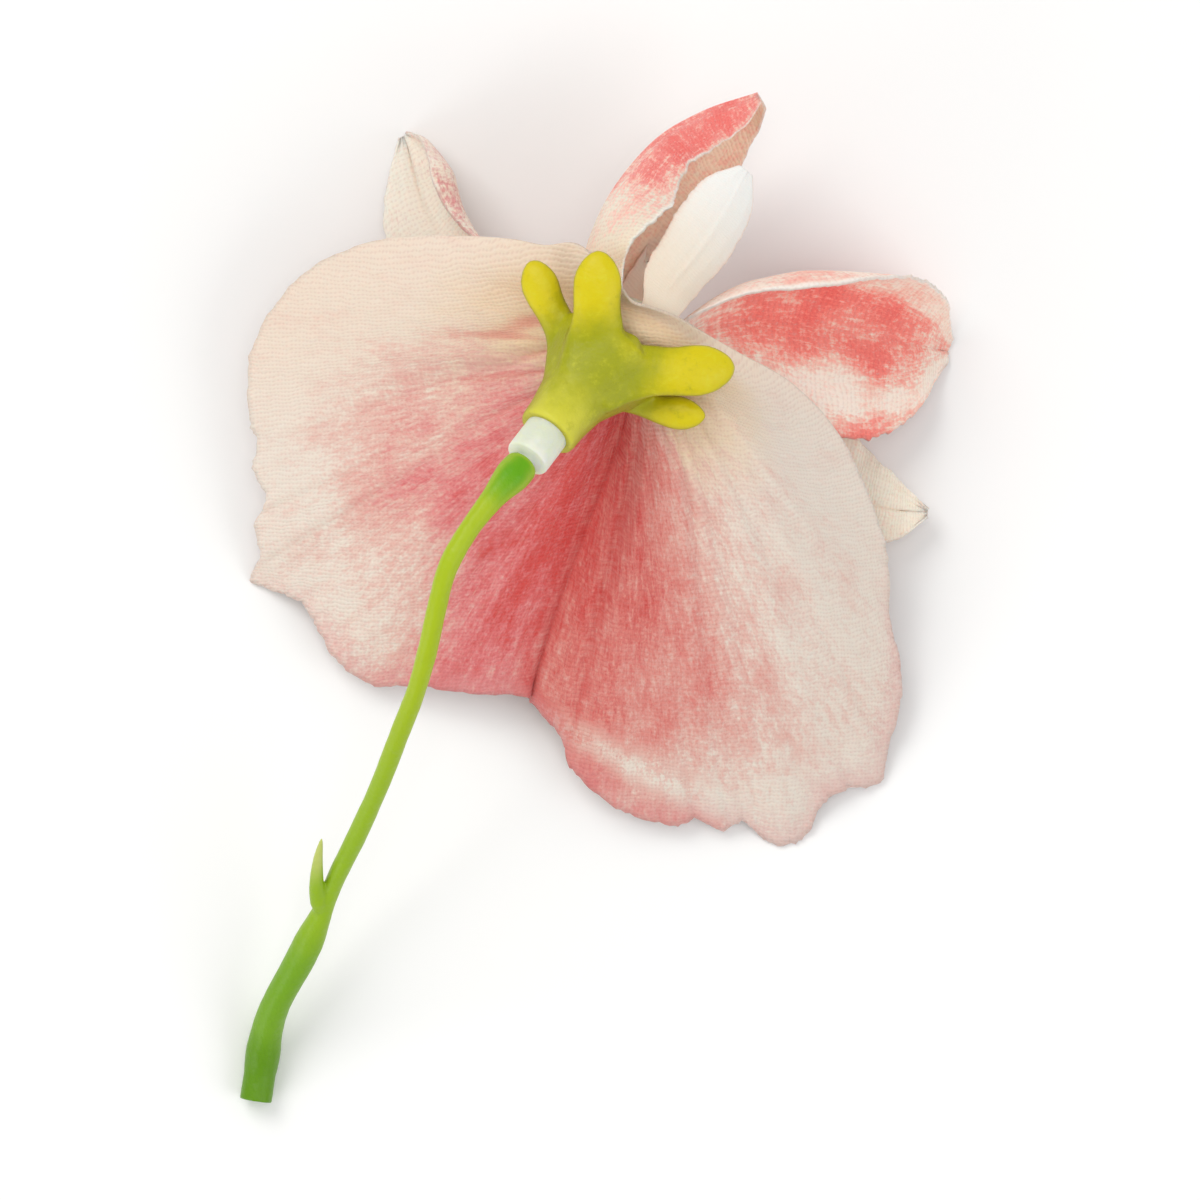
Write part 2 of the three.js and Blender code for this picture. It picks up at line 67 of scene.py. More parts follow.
def spoke(angle, lean=0.0):
    """The direction that leaves the axis at this angle round it, leaning towards the face."""
    angle = np.asarray(angle, float)[..., None]
    flat = SIDE * np.cos(angle) + RISE * np.sin(angle)
    return flat * math.cos(lean) + AXIS * math.sin(lean)


def on_ring(along, radius, angle):
    """The point so far along the axis and so far out from it."""
    along, radius = np.asarray(along, float)[..., None], np.asarray(radius, float)[..., None]
    return MOUTH + AXIS * along + spoke(angle) * radius


def beside_mouth(points):
    """Points from places counted sideways from the mouth and upwards from the floor."""
    return np.array(points, float) + [MOUTH[0], MOUTH[1], 0]


print("the bloom's axis:", AXIS.round(3), "and its mouth:", MOUTH)

# %% [markdown]
# The rest of the lesson draws everything with a few kinds of line: a smooth step between two values, a curve
# through points in space, a profile through stops along a length, and a ripple that never quite repeats.

# %% Lines and curves
def unit(v):
    """Vectors made one long."""
    return v / np.maximum(np.linalg.norm(v, axis=-1, keepdims=True), 1e-9)


def smooth(x, low, high):
    """0 below low, 1 above high, and a soft step between."""
    t = np.clip((np.asarray(x, float) - low) / (high - low), 0, 1)
    return t * t * (3 - 2 * t)


def curve_at(points, t, closed=False):
    """Points of a smooth curve through the given ones, for t from 0 to 1."""
    points = np.asarray(points, float)
    count = len(points)
    if not closed:
        first, last = 2 * points[0] - points[1], 2 * points[-1] - points[-2]
        points = np.vstack([first, points, last])
    t = np.asarray(t, float)
    place = (t % 1) * count if closed else np.clip(t, 0, 1) * (count - 1)
    i = np.floor(place).astype(int)
    if not closed:
        i = np.minimum(i, count - 2)
    w = (place - i)[..., None]
    at = (lambda k: points[(i + k) % count]) if closed else (lambda k: points[i + k + 1])
    a, b, c, d = at(-1), at(0), at(1), at(2)
    return b + 0.5 * w * ((c - a) + w * (2 * a - 5 * b + 4 * c - d + w * (3 * (b - c) + d - a)))


def frame_along(points, u, facing, near):
    """A curve's points, the way sideways at each and the facing turned square to the curve. The heading is
    taken between points so near in u to both sides."""
    centre = curve_at(points, u)
    heads = unit(curve_at(points, np.minimum(u + near, 1)) - curve_at(points, np.maximum(u - near, 0)))
    facing = np.array(facing, float) + 0 * heads
    facing = unit(facing - heads * (facing * heads).sum(-1, keepdims=True))
    return centre, np.cross(heads, facing), facing


def profile(stops, x):
    """A smooth line through [place, value] stops."""
    stops = np.asarray(stops, float)
    x = np.asarray(x, float)
    px, py = stops[:, 0], stops[:, 1]
    k = np.arange(len(px))
    before, after = np.maximum(k - 1, 0), np.minimum(k + 1, len(px) - 1)
    slope = (py[after] - py[before]) / (px[after] - px[before])
    i = np.clip(np.searchsorted(px, x, side="left") - 1, 0, len(px) - 2)
    wide = px[i + 1] - px[i]
    t = np.clip((x - px[i]) / wide, 0, 1)
    t2, t3 = t * t, t * t * t
    ends = (2 * t3 - 3 * t2 + 1) * py[i] + (3 * t2 - 2 * t3) * py[i + 1]
    return ends + ((t3 - 2 * t2 + t) * slope[i] + (t3 - t2) * slope[i + 1]) * wide


def ripple(x, seed, waves=6):
    """A soft wandering line from -1 to 1: a few waves whose lengths and starts are drawn from the seed."""
    draw = np.random.default_rng(seed)
    total = np.zeros_like(np.asarray(x, float))
    for k in range(1, waves + 1):
        total += np.sin(x * k * draw.uniform(0.8, 1.2) + draw.uniform(0, 6.28)) / k**0.7
    return total / 2.2


print("a step half way up:", smooth(0.5, 0, 1), "and a ripple's start:", ripple(0.0, 3).round(3))

# %% [markdown]
# ## Camera, floor and light
# The real bloom was photographed from straight behind on white. A long lens straight above the lying flower
# gives the same view. The floor is plain and pale, and large area lamps give the soft, nearly shadowless
# light of a product table.

# %% Camera and floor
MIDDLE = Vector((0.0, 0.0, 0.0))
VIEW_WIDTH = 0.111
CAMERA_HEIGHT = 1.6
BLOOM_HEIGHT = 0.012
SENSOR = 36.0

camera = bpy.data.objects.new("camera", bpy.data.cameras.new("camera"))
bpy.context.collection.objects.link(camera)
camera.location = MIDDLE + Vector((0, 0, CAMERA_HEIGHT))
camera.data.sensor_width = SENSOR
camera.data.lens = SENSOR * (CAMERA_HEIGHT - BLOOM_HEIGHT) / VIEW_WIDTH
camera.data.clip_end = 20
bpy.context.scene.camera = camera


def link_mesh(name, vertices, faces):
    """A new object from millimetre points and faces."""
    mesh = bpy.data.meshes.new(name)
    mesh.from_pydata((np.asarray(vertices) * MM).tolist(), [], faces)
    mesh.update()
    obj = bpy.data.objects.new(name, mesh)
    bpy.context.collection.objects.link(obj)
    return obj


FLOOR_HALF = 1500.0
FLOOR_DROP = 0.00005
corners = [(x * FLOOR_HALF, y * FLOOR_HALF, 0) for x, y in ((-1, -1), (1, -1), (1, 1), (-1, 1))]
floor = link_mesh("floor", corners, [(0, 1, 2, 3)])
floor.location.z = -FLOOR_DROP
print("lens:", round(camera.data.lens), "mm, held", CAMERA_HEIGHT, "m above the floor")

# %% [markdown]
# Lamps are placed by where they stand, and all look at the flower. A big one to the upper left shapes the
# petals, a small one overhead lights their tops, a third fills the other side, a low one reaches under the
# rims, and the world gives an even pale base.

# %% Lamps
def lamp(name, place, size, watts, tint=(1, 1, 1)):
    """A square area lamp that looks at the flower."""
    data = bpy.data.lights.new(name, "AREA")
    data.size = size
    data.energy = watts
    data.color = tint
    obj = bpy.data.objects.new(name, data)
    obj.location = place
    obj.rotation_euler = (MIDDLE - Vector(place)).to_track_quat("-Z", "Y").to_euler()
    bpy.context.collection.objects.link(obj)


lamp("key_lamp", (-0.45, 0.55, 0.9), 0.6, 4.8, (1, 0.985, 0.96))
lamp("front_lamp", (0.05, 0.1, 1.1), 0.35, 1.3, (1, 0.99, 0.97))
lamp("fill_lamp", (0.7, -0.35, 0.7), 0.7, 2.6, (0.97, 0.985, 1))
lamp("low_lamp", (-0.7, -0.5, 0.35), 0.5, 1.5)

world = bpy.data.worlds.new("studio")
bpy.context.scene.world = world
world.use_nodes = True
world.node_tree.nodes["Background"].inputs["Color"].default_value = (1, 1, 1, 1)
world.node_tree.nodes["Background"].inputs["Strength"].default_value = 0.56
bpy.context.scene.view_settings.view_transform = "Standard"

# %% [markdown]
# ## Writing materials as sums
# A material is a small calculation. Wrapping a socket in a class lets it be written as one, so that
# `1 - mask * 0.5` adds the nodes for it. Numbers go through Math nodes. Colours are mixed with Mix nodes.

# %% The shader class
class Maths:
    """A socket of a material that can be added, multiplied and so on."""

    def __init__(self, bench, socket):
        self.bench, self.socket = bench, socket

    def _do(self, operation, *others):
        return self.bench.node("ShaderNodeMath", {"operation": operation}, [self, *others])

    def __add__(self, other):
        return self._do("ADD", other)

    __radd__ = __add__

    def __mul__(self, other):
        return self._do("MULTIPLY", other)

    __rmul__ = __mul__

    def __sub__(self, other):
        return self._do("SUBTRACT", other)

    def __rsub__(self, other):
        return self.bench.node("ShaderNodeMath", {"operation": "SUBTRACT"}, [other, self])

    def sin(self):
        return self._do("SINE")

    def step(self, low, high):
        """0 below low, 1 above high, softly between."""
        settings = {"interpolation_type": "SMOOTHSTEP"}
        values = {"Value": self, "From Min": low, "From Max": high}
        return self.bench.node("ShaderNodeMapRange", settings, values)


known = [name.strip("_") for name, value in vars(Maths).items() if callable(value)]
print("a socket understands:", known)

# %% [markdown]
# The bench holds one material's nodes. Its `node` method is the only place where a node is made: it takes the
# node's type, its settings and then the values or links of its sockets. The short methods under it are the
# few nodes that this flower needs again and again.

# %% The bench
class Bench:
    """The nodes of one material."""

    def __init__(self, name):
        self.material = bpy.data.materials.new(name)
        self.material.use_nodes = True
        self.nodes, self.links = self.material.node_tree.nodes, self.material.node_tree.links
        self.shader = self.nodes["Principled BSDF"]

    def node(self, kind, settings=None, values=(), out=0):
        """Adds a node: its settings first, then its sockets' values or links. Returns one output."""
        made = self.nodes.new(kind)
        for key, value in (settings or {}).items():
            setattr(made, key, value)
        pairs = values.items() if isinstance(values, dict) else enumerate(values)
        for key, value in pairs:
            if isinstance(value, Maths):
                self.links.new(value.socket, made.inputs[key])
            else:
                made.inputs[key].default_value = value
        return Maths(self, made.outputs[out])

    def layer(self, name):
        """A number stored on the mesh's points."""
        return self.node("ShaderNodeAttribute", {"attribute_name": name}, out="Fac")

    def place(self, name):
        """A vector stored on the mesh's points."""
        return self.node("ShaderNodeAttribute", {"attribute_name": name}, out="Vector")

    def inside(self):
        """The place in the piece's own space, for what was cast and not cut."""
        return self.node("ShaderNodeTexCoord", out="Object")

    def grid(self, x, y):
        """A place made of two numbers, for noise that is stretched along one of them."""
        return self.node("ShaderNodeCombineXYZ", {}, [x, y, 0.0])

    def noise(self, vector, scale, detail=3.0, rough=0.55):
        values = {"Vector": vector, "Scale": scale, "Detail": detail, "Roughness": rough}
        return self.node("ShaderNodeTexNoise", {}, values)

    def spread(self, vector, scale, detail=3.0, rough=0.55):
        """Noise about zero that reaches about -1 and 1."""
        return (self.noise(vector, scale, detail, rough) - 0.5) * 4.0

    def mix(self, share, one, two):
        """Colour one where share is 0, two where it is 1."""
        return self.node("ShaderNodeMix", {"data_type": "RGBA"}, {0: share, 6: one, 7: two}, out=2)

    def coats(self, tone, *coats):
        """Colour over colour: each coat is a share and the colour that covers by that share."""
        for share, over in coats:
            tone = self.mix(share, tone, over)
        return tone

    def tint(self, share, one, two):
        """Colour one, multiplied by two as far as share says."""
        settings = {"data_type": "RGBA", "blend_type": "MULTIPLY"}
        return self.node("ShaderNodeMix", settings, {0: share, 6: one, 7: two}, out=2)

    def set(self, **values):
        """Values or links for the shader's sockets, named as in Blender with _ for a space."""
        for key, value in values.items():
            socket = self.shader.inputs[key.replace("_", " ")]
            if isinstance(value, Maths):
                self.links.new(value.socket, socket)
            else:
                socket.default_value = value

    def bump(self, height, distance, strength):
        """Relief on the surface, as deep as distance says where the height is 1."""
        values = {"Height": height, "Distance": distance, "Strength": strength}
        self.set(Normal=self.node("ShaderNodeBump", {}, values))

    def dress(self, obj):
        """Gives the piece this material."""
        obj.data.materials.append(self.material)
        print(self.material.name, "has", len(self.nodes), "nodes and goes on", obj.name)


def colour(r, g, b):
    """A linear colour as the shader wants it."""
    return (r, g, b, 1.0)


print("a bench can:", [name for name, value in vars(Bench).items() if callable(value)][1:])

# %% [markdown]
# The floor is the first thing finished on a bench: a matt, nearly white surface, on which the pale petals
# still stand out.

# %% The floor's finish
paper = Bench("pale_floor")
paper.set(Base_Color=colour(0.93, 0.93, 0.925), Roughness=0.75)
paper.dress(floor)

# %% [markdown]
# ## Cloth from a grid
# All three cloth pieces are made alike, from grids of points that lie in the middle of the cloth. The grids
# of the lobes and of the flat hub share points along their common line, and welding those makes one sheet of
# them. Each point carries what the print needs to know, such as how far it is from the claw.

# %% Grids welded into one sheet
HUB_HOLE_R = 1.7
HUB_R = 3.1
WELDS_PER_MM = 1000


def welded(grids):
    """One sheet from grids of (points, {layer: values}, flat places): its points, flats, layers and faces."""
    names = sorted({key for _, layers, _ in grids for key in layers})
    stored = {key: [] for key in names}
    points, flats, faces, key_of = [], [], [], {}
    for grid, layers, flat in grids:
        rows, columns = grid.shape[:2]
        ids = np.empty((rows, columns), int)
        keys = np.round(grid * WELDS_PER_MM).astype(int)
        for i in range(rows):
            for j in range(columns):
                key = tuple(keys[i, j])
                if key not in key_of:
                    key_of[key] = len(points)
                    points.append(grid[i, j])
                    flats.append(flat[i, j])
                    for layer in names:
                        stored[layer].append(layers[layer][i, j] if layer in layers else 0.0)
                ids[i, j] = key_of[key]
        quads = np.stack([ids[:-1, :-1], ids[:-1, 1:], ids[1:, 1:], ids[1:, :-1]], -1)
        faces.append(quads.reshape(-1, 4))
    faces = np.vstack(faces)
    whole = np.array([len(set(quad)) == 4 for quad in faces.tolist()])
    return np.array(points), np.array(flats), stored, faces[whole]


def hub_grid(along, angles, lying_angles, layers, shift=0):
    """The flat ring round the peg, whose rim meets the cloth at the given angles. The lying angles are those
    on the cloth as it was cut, where the ring lies as far to the side as the shift says."""
    angles, lying_angles = np.repeat(angles[:, None], 2, 1), np.repeat(lying_angles[:, None], 2, 1)
    radii = np.tile([HUB_HOLE_R, HUB_R], (len(angles), 1))
    flat = np.stack([radii * np.cos(lying_angles) + shift, radii * np.sin(lying_angles)], -1)
    return on_ring(np.full(angles.shape, along), radii, angles), layers, flat


print("hub ring:", HUB_HOLE_R, "to", HUB_R, "mm from the axis")

# %% [markdown]
# A sheet of no thickness would catch the light like paper and has no cut edge to see. So both faces are laid
# half the cloth's thickness away from the sheet, and a narrow wall closes them along every cut edge, also
# round the hub's hole. A Solidify modifier could do it, but here the layers for the print stay on the points.

# %% Cloth with two faces
CLOTH = 0.28
FLOOR_GAP = 0.02
FACE_GAP = 40
MAP_SIZE, MAP_CORNER, OTHER_FACE = [0.48, 0.98], [0.005, 0.01], [0.5, 0]


def point_normals(points, faces):
    """The direction that the sheet faces at each point."""
    normals = np.zeros_like(points)
    corner = [points[faces[:, k]] for k in range(4)]
    cross = np.cross(corner[2] - corner[0], corner[3] - corner[1])
    for k in range(4):
        np.add.at(normals, faces[:, k], cross)
    return unit(normals)


def rim_walls(faces, count):
    """The walls along the sheet's free edges, between its two faces."""
    directed = np.concatenate([faces[:, [k, (k + 1) % 4]] for k in range(4)])
    edges = np.sort(directed, axis=1)
    _, inverse, uses = np.unique(edges, axis=0, return_inverse=True, return_counts=True)
    rim = directed[uses[inverse.ravel()] == 1]
    return np.stack([rim[:, 1], rim[:, 0], rim[:, 0] + count, rim[:, 1] + count], -1)


def cloth_object(name, grids):
    """The closed cloth around the grids' sheet, with its layers, its flat places and a map of both faces."""
    points, flats, stored, faces = welded(grids)
    count = len(points)
    offset = point_normals(points, faces) * CLOTH / 2
    every = np.vstack([faces, faces[:, ::-1] + count, rim_walls(faces, count)])
    obj = link_mesh(name, np.vstack([points + offset, points - offset]), every.tolist())

    mesh = obj.data
    for layer, values in stored.items():
        values = np.array(values * 2, np.float32)
        mesh.attributes.new(layer, "FLOAT", "POINT").data.foreach_set("value", values)
    lying = np.column_stack([np.vstack([flats, flats]), np.repeat([0.0, 1.0], count) * FACE_GAP])
    place = mesh.attributes.new("cloth", "FLOAT_VECTOR", "POINT")
    place.data.foreach_set("vector", lying.astype(np.float32).ravel())
    low, high = flats.min(0), flats.max(0)
    placed = (flats - low) / (high - low) * MAP_SIZE + MAP_CORNER
    placed = np.vstack([placed, placed + OTHER_FACE])
    loops = np.empty(len(mesh.loops), int)
    mesh.loops.foreach_get("vertex_index", loops)
    mesh.uv_layers.new(name="OFBake").data.foreach_set("uv", placed[loops].astype(np.float32).ravel())
    mesh.shade_smooth()
    print(name, "faces:", len(mesh.polygons))
    return obj


print("the cloth is", CLOTH, "mm thick")

# %% [markdown]
# ## The banner
# The banner is one cut piece with two broad lobes, a heat-set crease between them and a wavy, slightly frayed
# edge. A flat disc pushed about by hand would never drape like it, so it is built the way the cloth hangs:
# the cut edge is a closed curve in space, and from the hub a smooth line runs out to every point of it.

# %% The banner's edge
BANNER_HUB, BANNER_LEAN, CLAW_TWIST = 0.3, math.radians(28), math.radians(18)
banner_edge = [
    [-0.2, 6.4, 28.6], [-3.3, 9.2, 27], [-6.4, 9.2, 24.6], [-9.4, 9.8, 22.4], [-13.2, 10.1, 19.4],
    [-18.4, 10.2, 15.6], [-23.2, 9.5, 12.4], [-28, 7.3, 9.8], [-31.6, 3.6, 8], [-33.8, -1.4, 6.6],
    [-33.7, -6.6, 5.8], [-33, -8.8, 5.8], [-33.4, -11.4, 5], [-32.2, -13.9, 5], [-33.3, -16.4, 3.4],
    [-32.8, -19.1, 2.8], [-33.8, -21.5, 0.25], [-31.2, -22.6, 1.6], [-28.8, -23.8, 2.8], [-27.4, -26.2, 3.2],
    [-25.8, -28.8, 3.2], [-22.6, -31.2, 2.8], [-18.6, -31.3, 3.8], [-14, -31.9, 4.8], [-8.4, -32.3, 4.6],
    [-7.5, -33, 3.8], [-4.8, -36.1, 5.2], [-4, -38.8, 5], [-1, -41.8, 3.8], [2.4, -43.6, 2.8],
    [6, -44.3, 2], [7.8, -43.7, 2.4], [10.2, -44.8, 1.4], [12, -43.9, 1.6], [13.8, -45.4, 0.5],
    [15.8, -46.2, 0.25], [18, -45.2, 0.4], [19.5, -42.3, 1.6], [21.8, -40.9, 1.5], [24.8, -40.4, 0.5],
    [25.4, -37.7, 1.4], [26.6, -33.2, 3], [26.6, -29, 3.8], [25.6, -25.2, 5], [25.4, -19.5, 6.6],
    [23.4, -13.2, 9.6], [20.6, -7.8, 12.6], [16.4, -3.4, 17], [11.4, -0.6, 22.2], [8.2, 1.2, 25.8],
    [5.6, 2.6, 28.2], [3.4, 3.4, 29.4], [1.6, 4, 29.8],
]
banner_edge = beside_mouth(banner_edge)
CREASE_AT = 24.8 / len(banner_edge)
EASE_STEP = 1.3
print("the banner's edge runs through", len(banner_edge), "points")

# %% [markdown]
# Between hub and edge the cloth is drawn by Bezier lines. Each leaves the hub at the angle of the claw, lands
# nearly flat at an eased copy of the edge, and takes on the edge's small teeth only in its last part. Broad
# swells lift the lobes on both sides of the crease.

# %% The banner's surface
def banner_surface(around, out):
    """The middle of the banner's cloth, around its edge from 0 to 1 and out from its hub from 0 to 1."""
    edge = curve_at(banner_edge, around, closed=True)
    shifts = [EASE_STEP * k / len(banner_edge) for k in range(-3, 4)]
    soft = sum(curve_at(banner_edge, around + shift, closed=True) for shift in shifts) / len(shifts)
    flat = (soft - MOUTH) * [1, 1, 0]
    angle = np.arctan2(flat @ LEVEL, flat @ SIDE) + CLAW_TWIST
    root = on_ring(np.full(angle.shape, BANNER_HUB), np.full(angle.shape, HUB_R), angle)
    span = soft - root
    reach = np.hypot(span[..., 0], span[..., 1])
    length = np.minimum(6.5, 0.36 * np.linalg.norm(span, axis=-1))
    leaving = root + spoke(angle, BANNER_LEAN) * length[..., None]
    landing = root + span * 0.62 + UP * (0.14 * reach)[..., None]
    t = out[..., None]
    p = (1 - t) ** 3 * root + 3 * (1 - t) ** 2 * t * leaving
    p = p + 3 * (1 - t) * t * t * landing + t**3 * soft
    p = p + (edge - soft) * t**4
    broad = smooth(reach, 12, 30) * np.sin(np.pi * np.minimum(1, out * 1.02)) ** 1.2
    off = np.abs(around - CREASE_AT)
    p[..., 2] += broad * (1.3 * smooth(off, 0, 0.11) - 2.2 * np.exp(-((off / 0.035) ** 2)))
    return p, reach


AROUND, OUT = 424, 76
around, out = np.meshgrid(
    np.linspace(0, 1, AROUND + 1) % 1, np.linspace(0, 1, OUT + 1) ** 0.9, indexing="ij")
mid, reach = banner_surface(around, out)
print("banner grid:", mid.shape[:2], "and its highest point:", mid[..., 2].max().round(1), "mm")

# %% [markdown]
# The fine cloth adds what the plain solid leaves out: fold lines down the crease, shallow waves that fan out
# from the claw, small ruffles that grow towards the edge, a few pleats where the claw pinches the cloth, and
# an edge cut that isn't quite true. Each moves the sheet's points a little, mostly upwards or down.

# %% Folds, waves and pleats
wrinkles = [
    (62, -0.28, 2.2, 12, 22, 0.25), (70, 0.3, 2.4, 12, 24, 0.25), (80, -0.3, 2.2, 11, 21, -0.6),
    (88, 0.22, 2.5, 11, 20, 0.25), (92, -0.35, 3.2, 7, 14, -2.4), (76, -0.25, 2.6, 8, 16, -1.8),
    (50, -0.25, 1.8, 12, 26, -0.4), (-34, 0.2, 2.6, 14, 26, 0.25), (-41, -0.22, 2.6, 13, 24, 0.25),
]
turn = 2 * np.pi * around
open_cloth = smooth(reach, 10, 26)
off_crease = (around - CREASE_AT) * 60


def line_at(place, wide):
    """A soft line beside the crease: 1 on it and 0 away from it."""
    return np.exp(-(((off_crease - place) / wide) ** 2))


folds = -0.75 * line_at(0, 0.45) + 0.5 * line_at(1.2, 0.4)
folds = folds - 0.4 * line_at(2.2, 0.45) + 0.2 * line_at(3.3, 0.6)
folds = folds + 0.3 * line_at(-1.3, 0.5) * smooth(out, 0.3, 0.7)
waves = 0.5 * ripple(turn * 4.3, 3) * np.sin(np.pi * out) + 0.3 * ripple(turn * 9.0, 4) * out**3
fine = 0.07 * ripple(turn * 31 + out * 5, 5) * out + 0.05 * ripple(out * 40 + turn * 9, 6)
lift = open_cloth * (folds * np.sin(0.82 * np.pi * out) ** 0.5 + waves + fine)


def fan_angle(plan):
    """The angle from the crease, in degrees: above 0 on the left lobe, below 0 on the right one."""
    return (np.degrees(np.arctan2(-(plan[..., 0] - 2), -(plan[..., 1] + 1))) - 19.3 + 180) % 360 - 180


aim = fan_angle(mid - MOUTH)
pleat = 0 * out
for place, deep, wide, near, far, bend in wrinkles:
    strength = smooth(reach * out, 5, near) * (1 - smooth(reach * out, near + 1, far))
    ridge = strength * np.exp(-(((aim - place - bend * (reach * out - near)) / wide) ** 2))
    lift = lift + deep * ridge
    # A sunk pleat also leaves a mask of painted shade for the colour.
    pleat = pleat + max(-deep, 0) * 3 * ridge
tame = 1 - smooth(np.exp(-((mid[..., 2] - 0.5) ** 2)), 0.5, 1) * out**2
mid[..., 2] += lift * tame
frayed = 0.16 * ripple(turn * 70, 7, 9) * smooth(out, 0.93, 1) * open_cloth
outward = unit((mid - MOUTH) * [1, 1, 0])
mid += outward * frayed[..., None]
mid[..., 2] = np.maximum(mid[..., 2], CLOTH / 2 + FLOOR_GAP)
print("the folds lift the cloth by", lift.min().round(2), "to", lift.max().round(2), "mm")

# %% [markdown]
# The weave has to run straight over the cloth as it was cut, so every point also gets its place on the flat
# piece: as far from the hub as the cloth between them is long, at the angle of its line.

# %% The banner laid flat
steps = np.linalg.norm(np.diff(mid, axis=1), axis=2).cumsum(1)
arc = np.concatenate([np.zeros((AROUND + 1, 1)), steps], 1) + HUB_R
edge_flat = (mid[:, -1] - MOUTH) * [1, 1, 0]
flat_angle = np.unwrap(np.arctan2(edge_flat[:, 1], edge_flat[:, 0]))
flat_angle = flat_angle[:, None] + 0 * out
lying = np.stack([arc * np.cos(flat_angle), arc * np.sin(flat_angle)], -1)
print("the banner lies flat in", np.ptp(lying.reshape(-1, 2), axis=0).round(1), "mm")

# %% [markdown]
# The print isn't even. It is deep along the crease, fades to both sides by a different measure, leaves a pale
# band across the right lobe's tip and colours the rim there again. These are numbers of the cloth and not of
# the picture, so they are worked out here and stored on the points for the material to read.

# %% Where the banner is printed
plan = mid - MOUTH
fan = fan_angle(plan)
left_ink = np.interp(fan, [0, 8, 20, 40, 56, 70, 85], [1, 0.96, 0.84, 0.66, 0.5, 0.28, 0])
side_fade = np.interp(out, [0.5, 0.65, 0.75, 0.85, 0.95], [1, 0.86, 0.58, 0.3, 0.12])
low_fade = np.interp(out, [0.7, 0.85, 1], [1, 0.85, 0.6])
left_ink = left_ink * (low_fade + (side_fade - low_fade) * smooth(fan, 9, 27))
right_ink = np.interp(
    -fan, [0, 12, 23, 30, 36, 41, 47, 58, 74, 90], [1, 0.95, 0.8, 0.67, 0.52, 0.34, 0.22, 0.13, 0.06, 0])
right_ink = right_ink * np.interp(out, [0.45, 0.7, 0.85, 1], [1, 0.88, 0.76, 0.82])
ink = np.where(fan > 0, left_ink, right_ink) * np.interp(out, [0, 0.15], [0.1, 1])
bare = np.exp(-(((plan[..., 1] + 38.6 + 0.5 * (plan[..., 0] - 2)) / 1.6) ** 2)) * smooth(-fan, 0, 4)
low_rim = smooth(out, 0.9, 1) * smooth(-plan[..., 1], 16, 30) * smooth(-plan[..., 0], -14, 4)
ink = np.clip(ink + (0.2 - 0.12 * smooth(fan, 9, 27)) * low_rim - 0.25 * smooth(-plan[..., 1], 34, 42), 0, 1)
on_left = smooth(fan, -5, 5)
# Painted shade: a mask that darkens the colour along the crease's fold lines.
pinch = line_at(0, 0.4) + 0.75 * line_at(2.2, 0.35) + 0.5 * line_at(-1.0, 0.3) * smooth(out, 0.5, 0.8)
pinch = pinch * smooth(reach, 8, 16) * (1 - 0.5 * smooth(out, 0.9, 1))
banner_layers = {
    "pleat": pleat, "pinch": pinch, "fan": fan, "arc": arc, "ink": ink, "bare": bare, "out": out,
    "north": plan[..., 1], "on_left": on_left,
}
left_mean, right_mean = ink[fan > 0].mean().round(2), ink[fan <= 0].mean().round(2)
print("mean ink on the left lobe:", left_mean, "and on the right one:", right_mean)

# %% [markdown]
# The hub ring closes the sheet towards the peg. Its rim has to share the points of the banner's innermost
# row, so their angles round the axis are measured instead of worked out anew.

# %% The banner as an object
rim_angles = np.arctan2((mid[:, 0] - MOUTH) @ RISE, (mid[:, 0] - MOUTH) @ SIDE)
hub_layers = {key: np.repeat(value[:, :1], 2, 1) for key, value in banner_layers.items()}
hub = hub_grid(BANNER_HUB, rim_angles, flat_angle[:, 0], hub_layers)
banner = cloth_object("banner_cloth", [(mid, banner_layers, lying), hub])
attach(banner, "root")
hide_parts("banner")

# %% [markdown]
# ## Wings and keel
# The inner petals are two more cut cloths, one with four long lobes and a smaller one with two. Each lobe
# leaves the hub over a short arc and follows its own path, and each of its sides rolls up by its own amount.
# That is how heat-pressed petals curl, and a path, two widths and two roll angles are enough to draw a lobe.

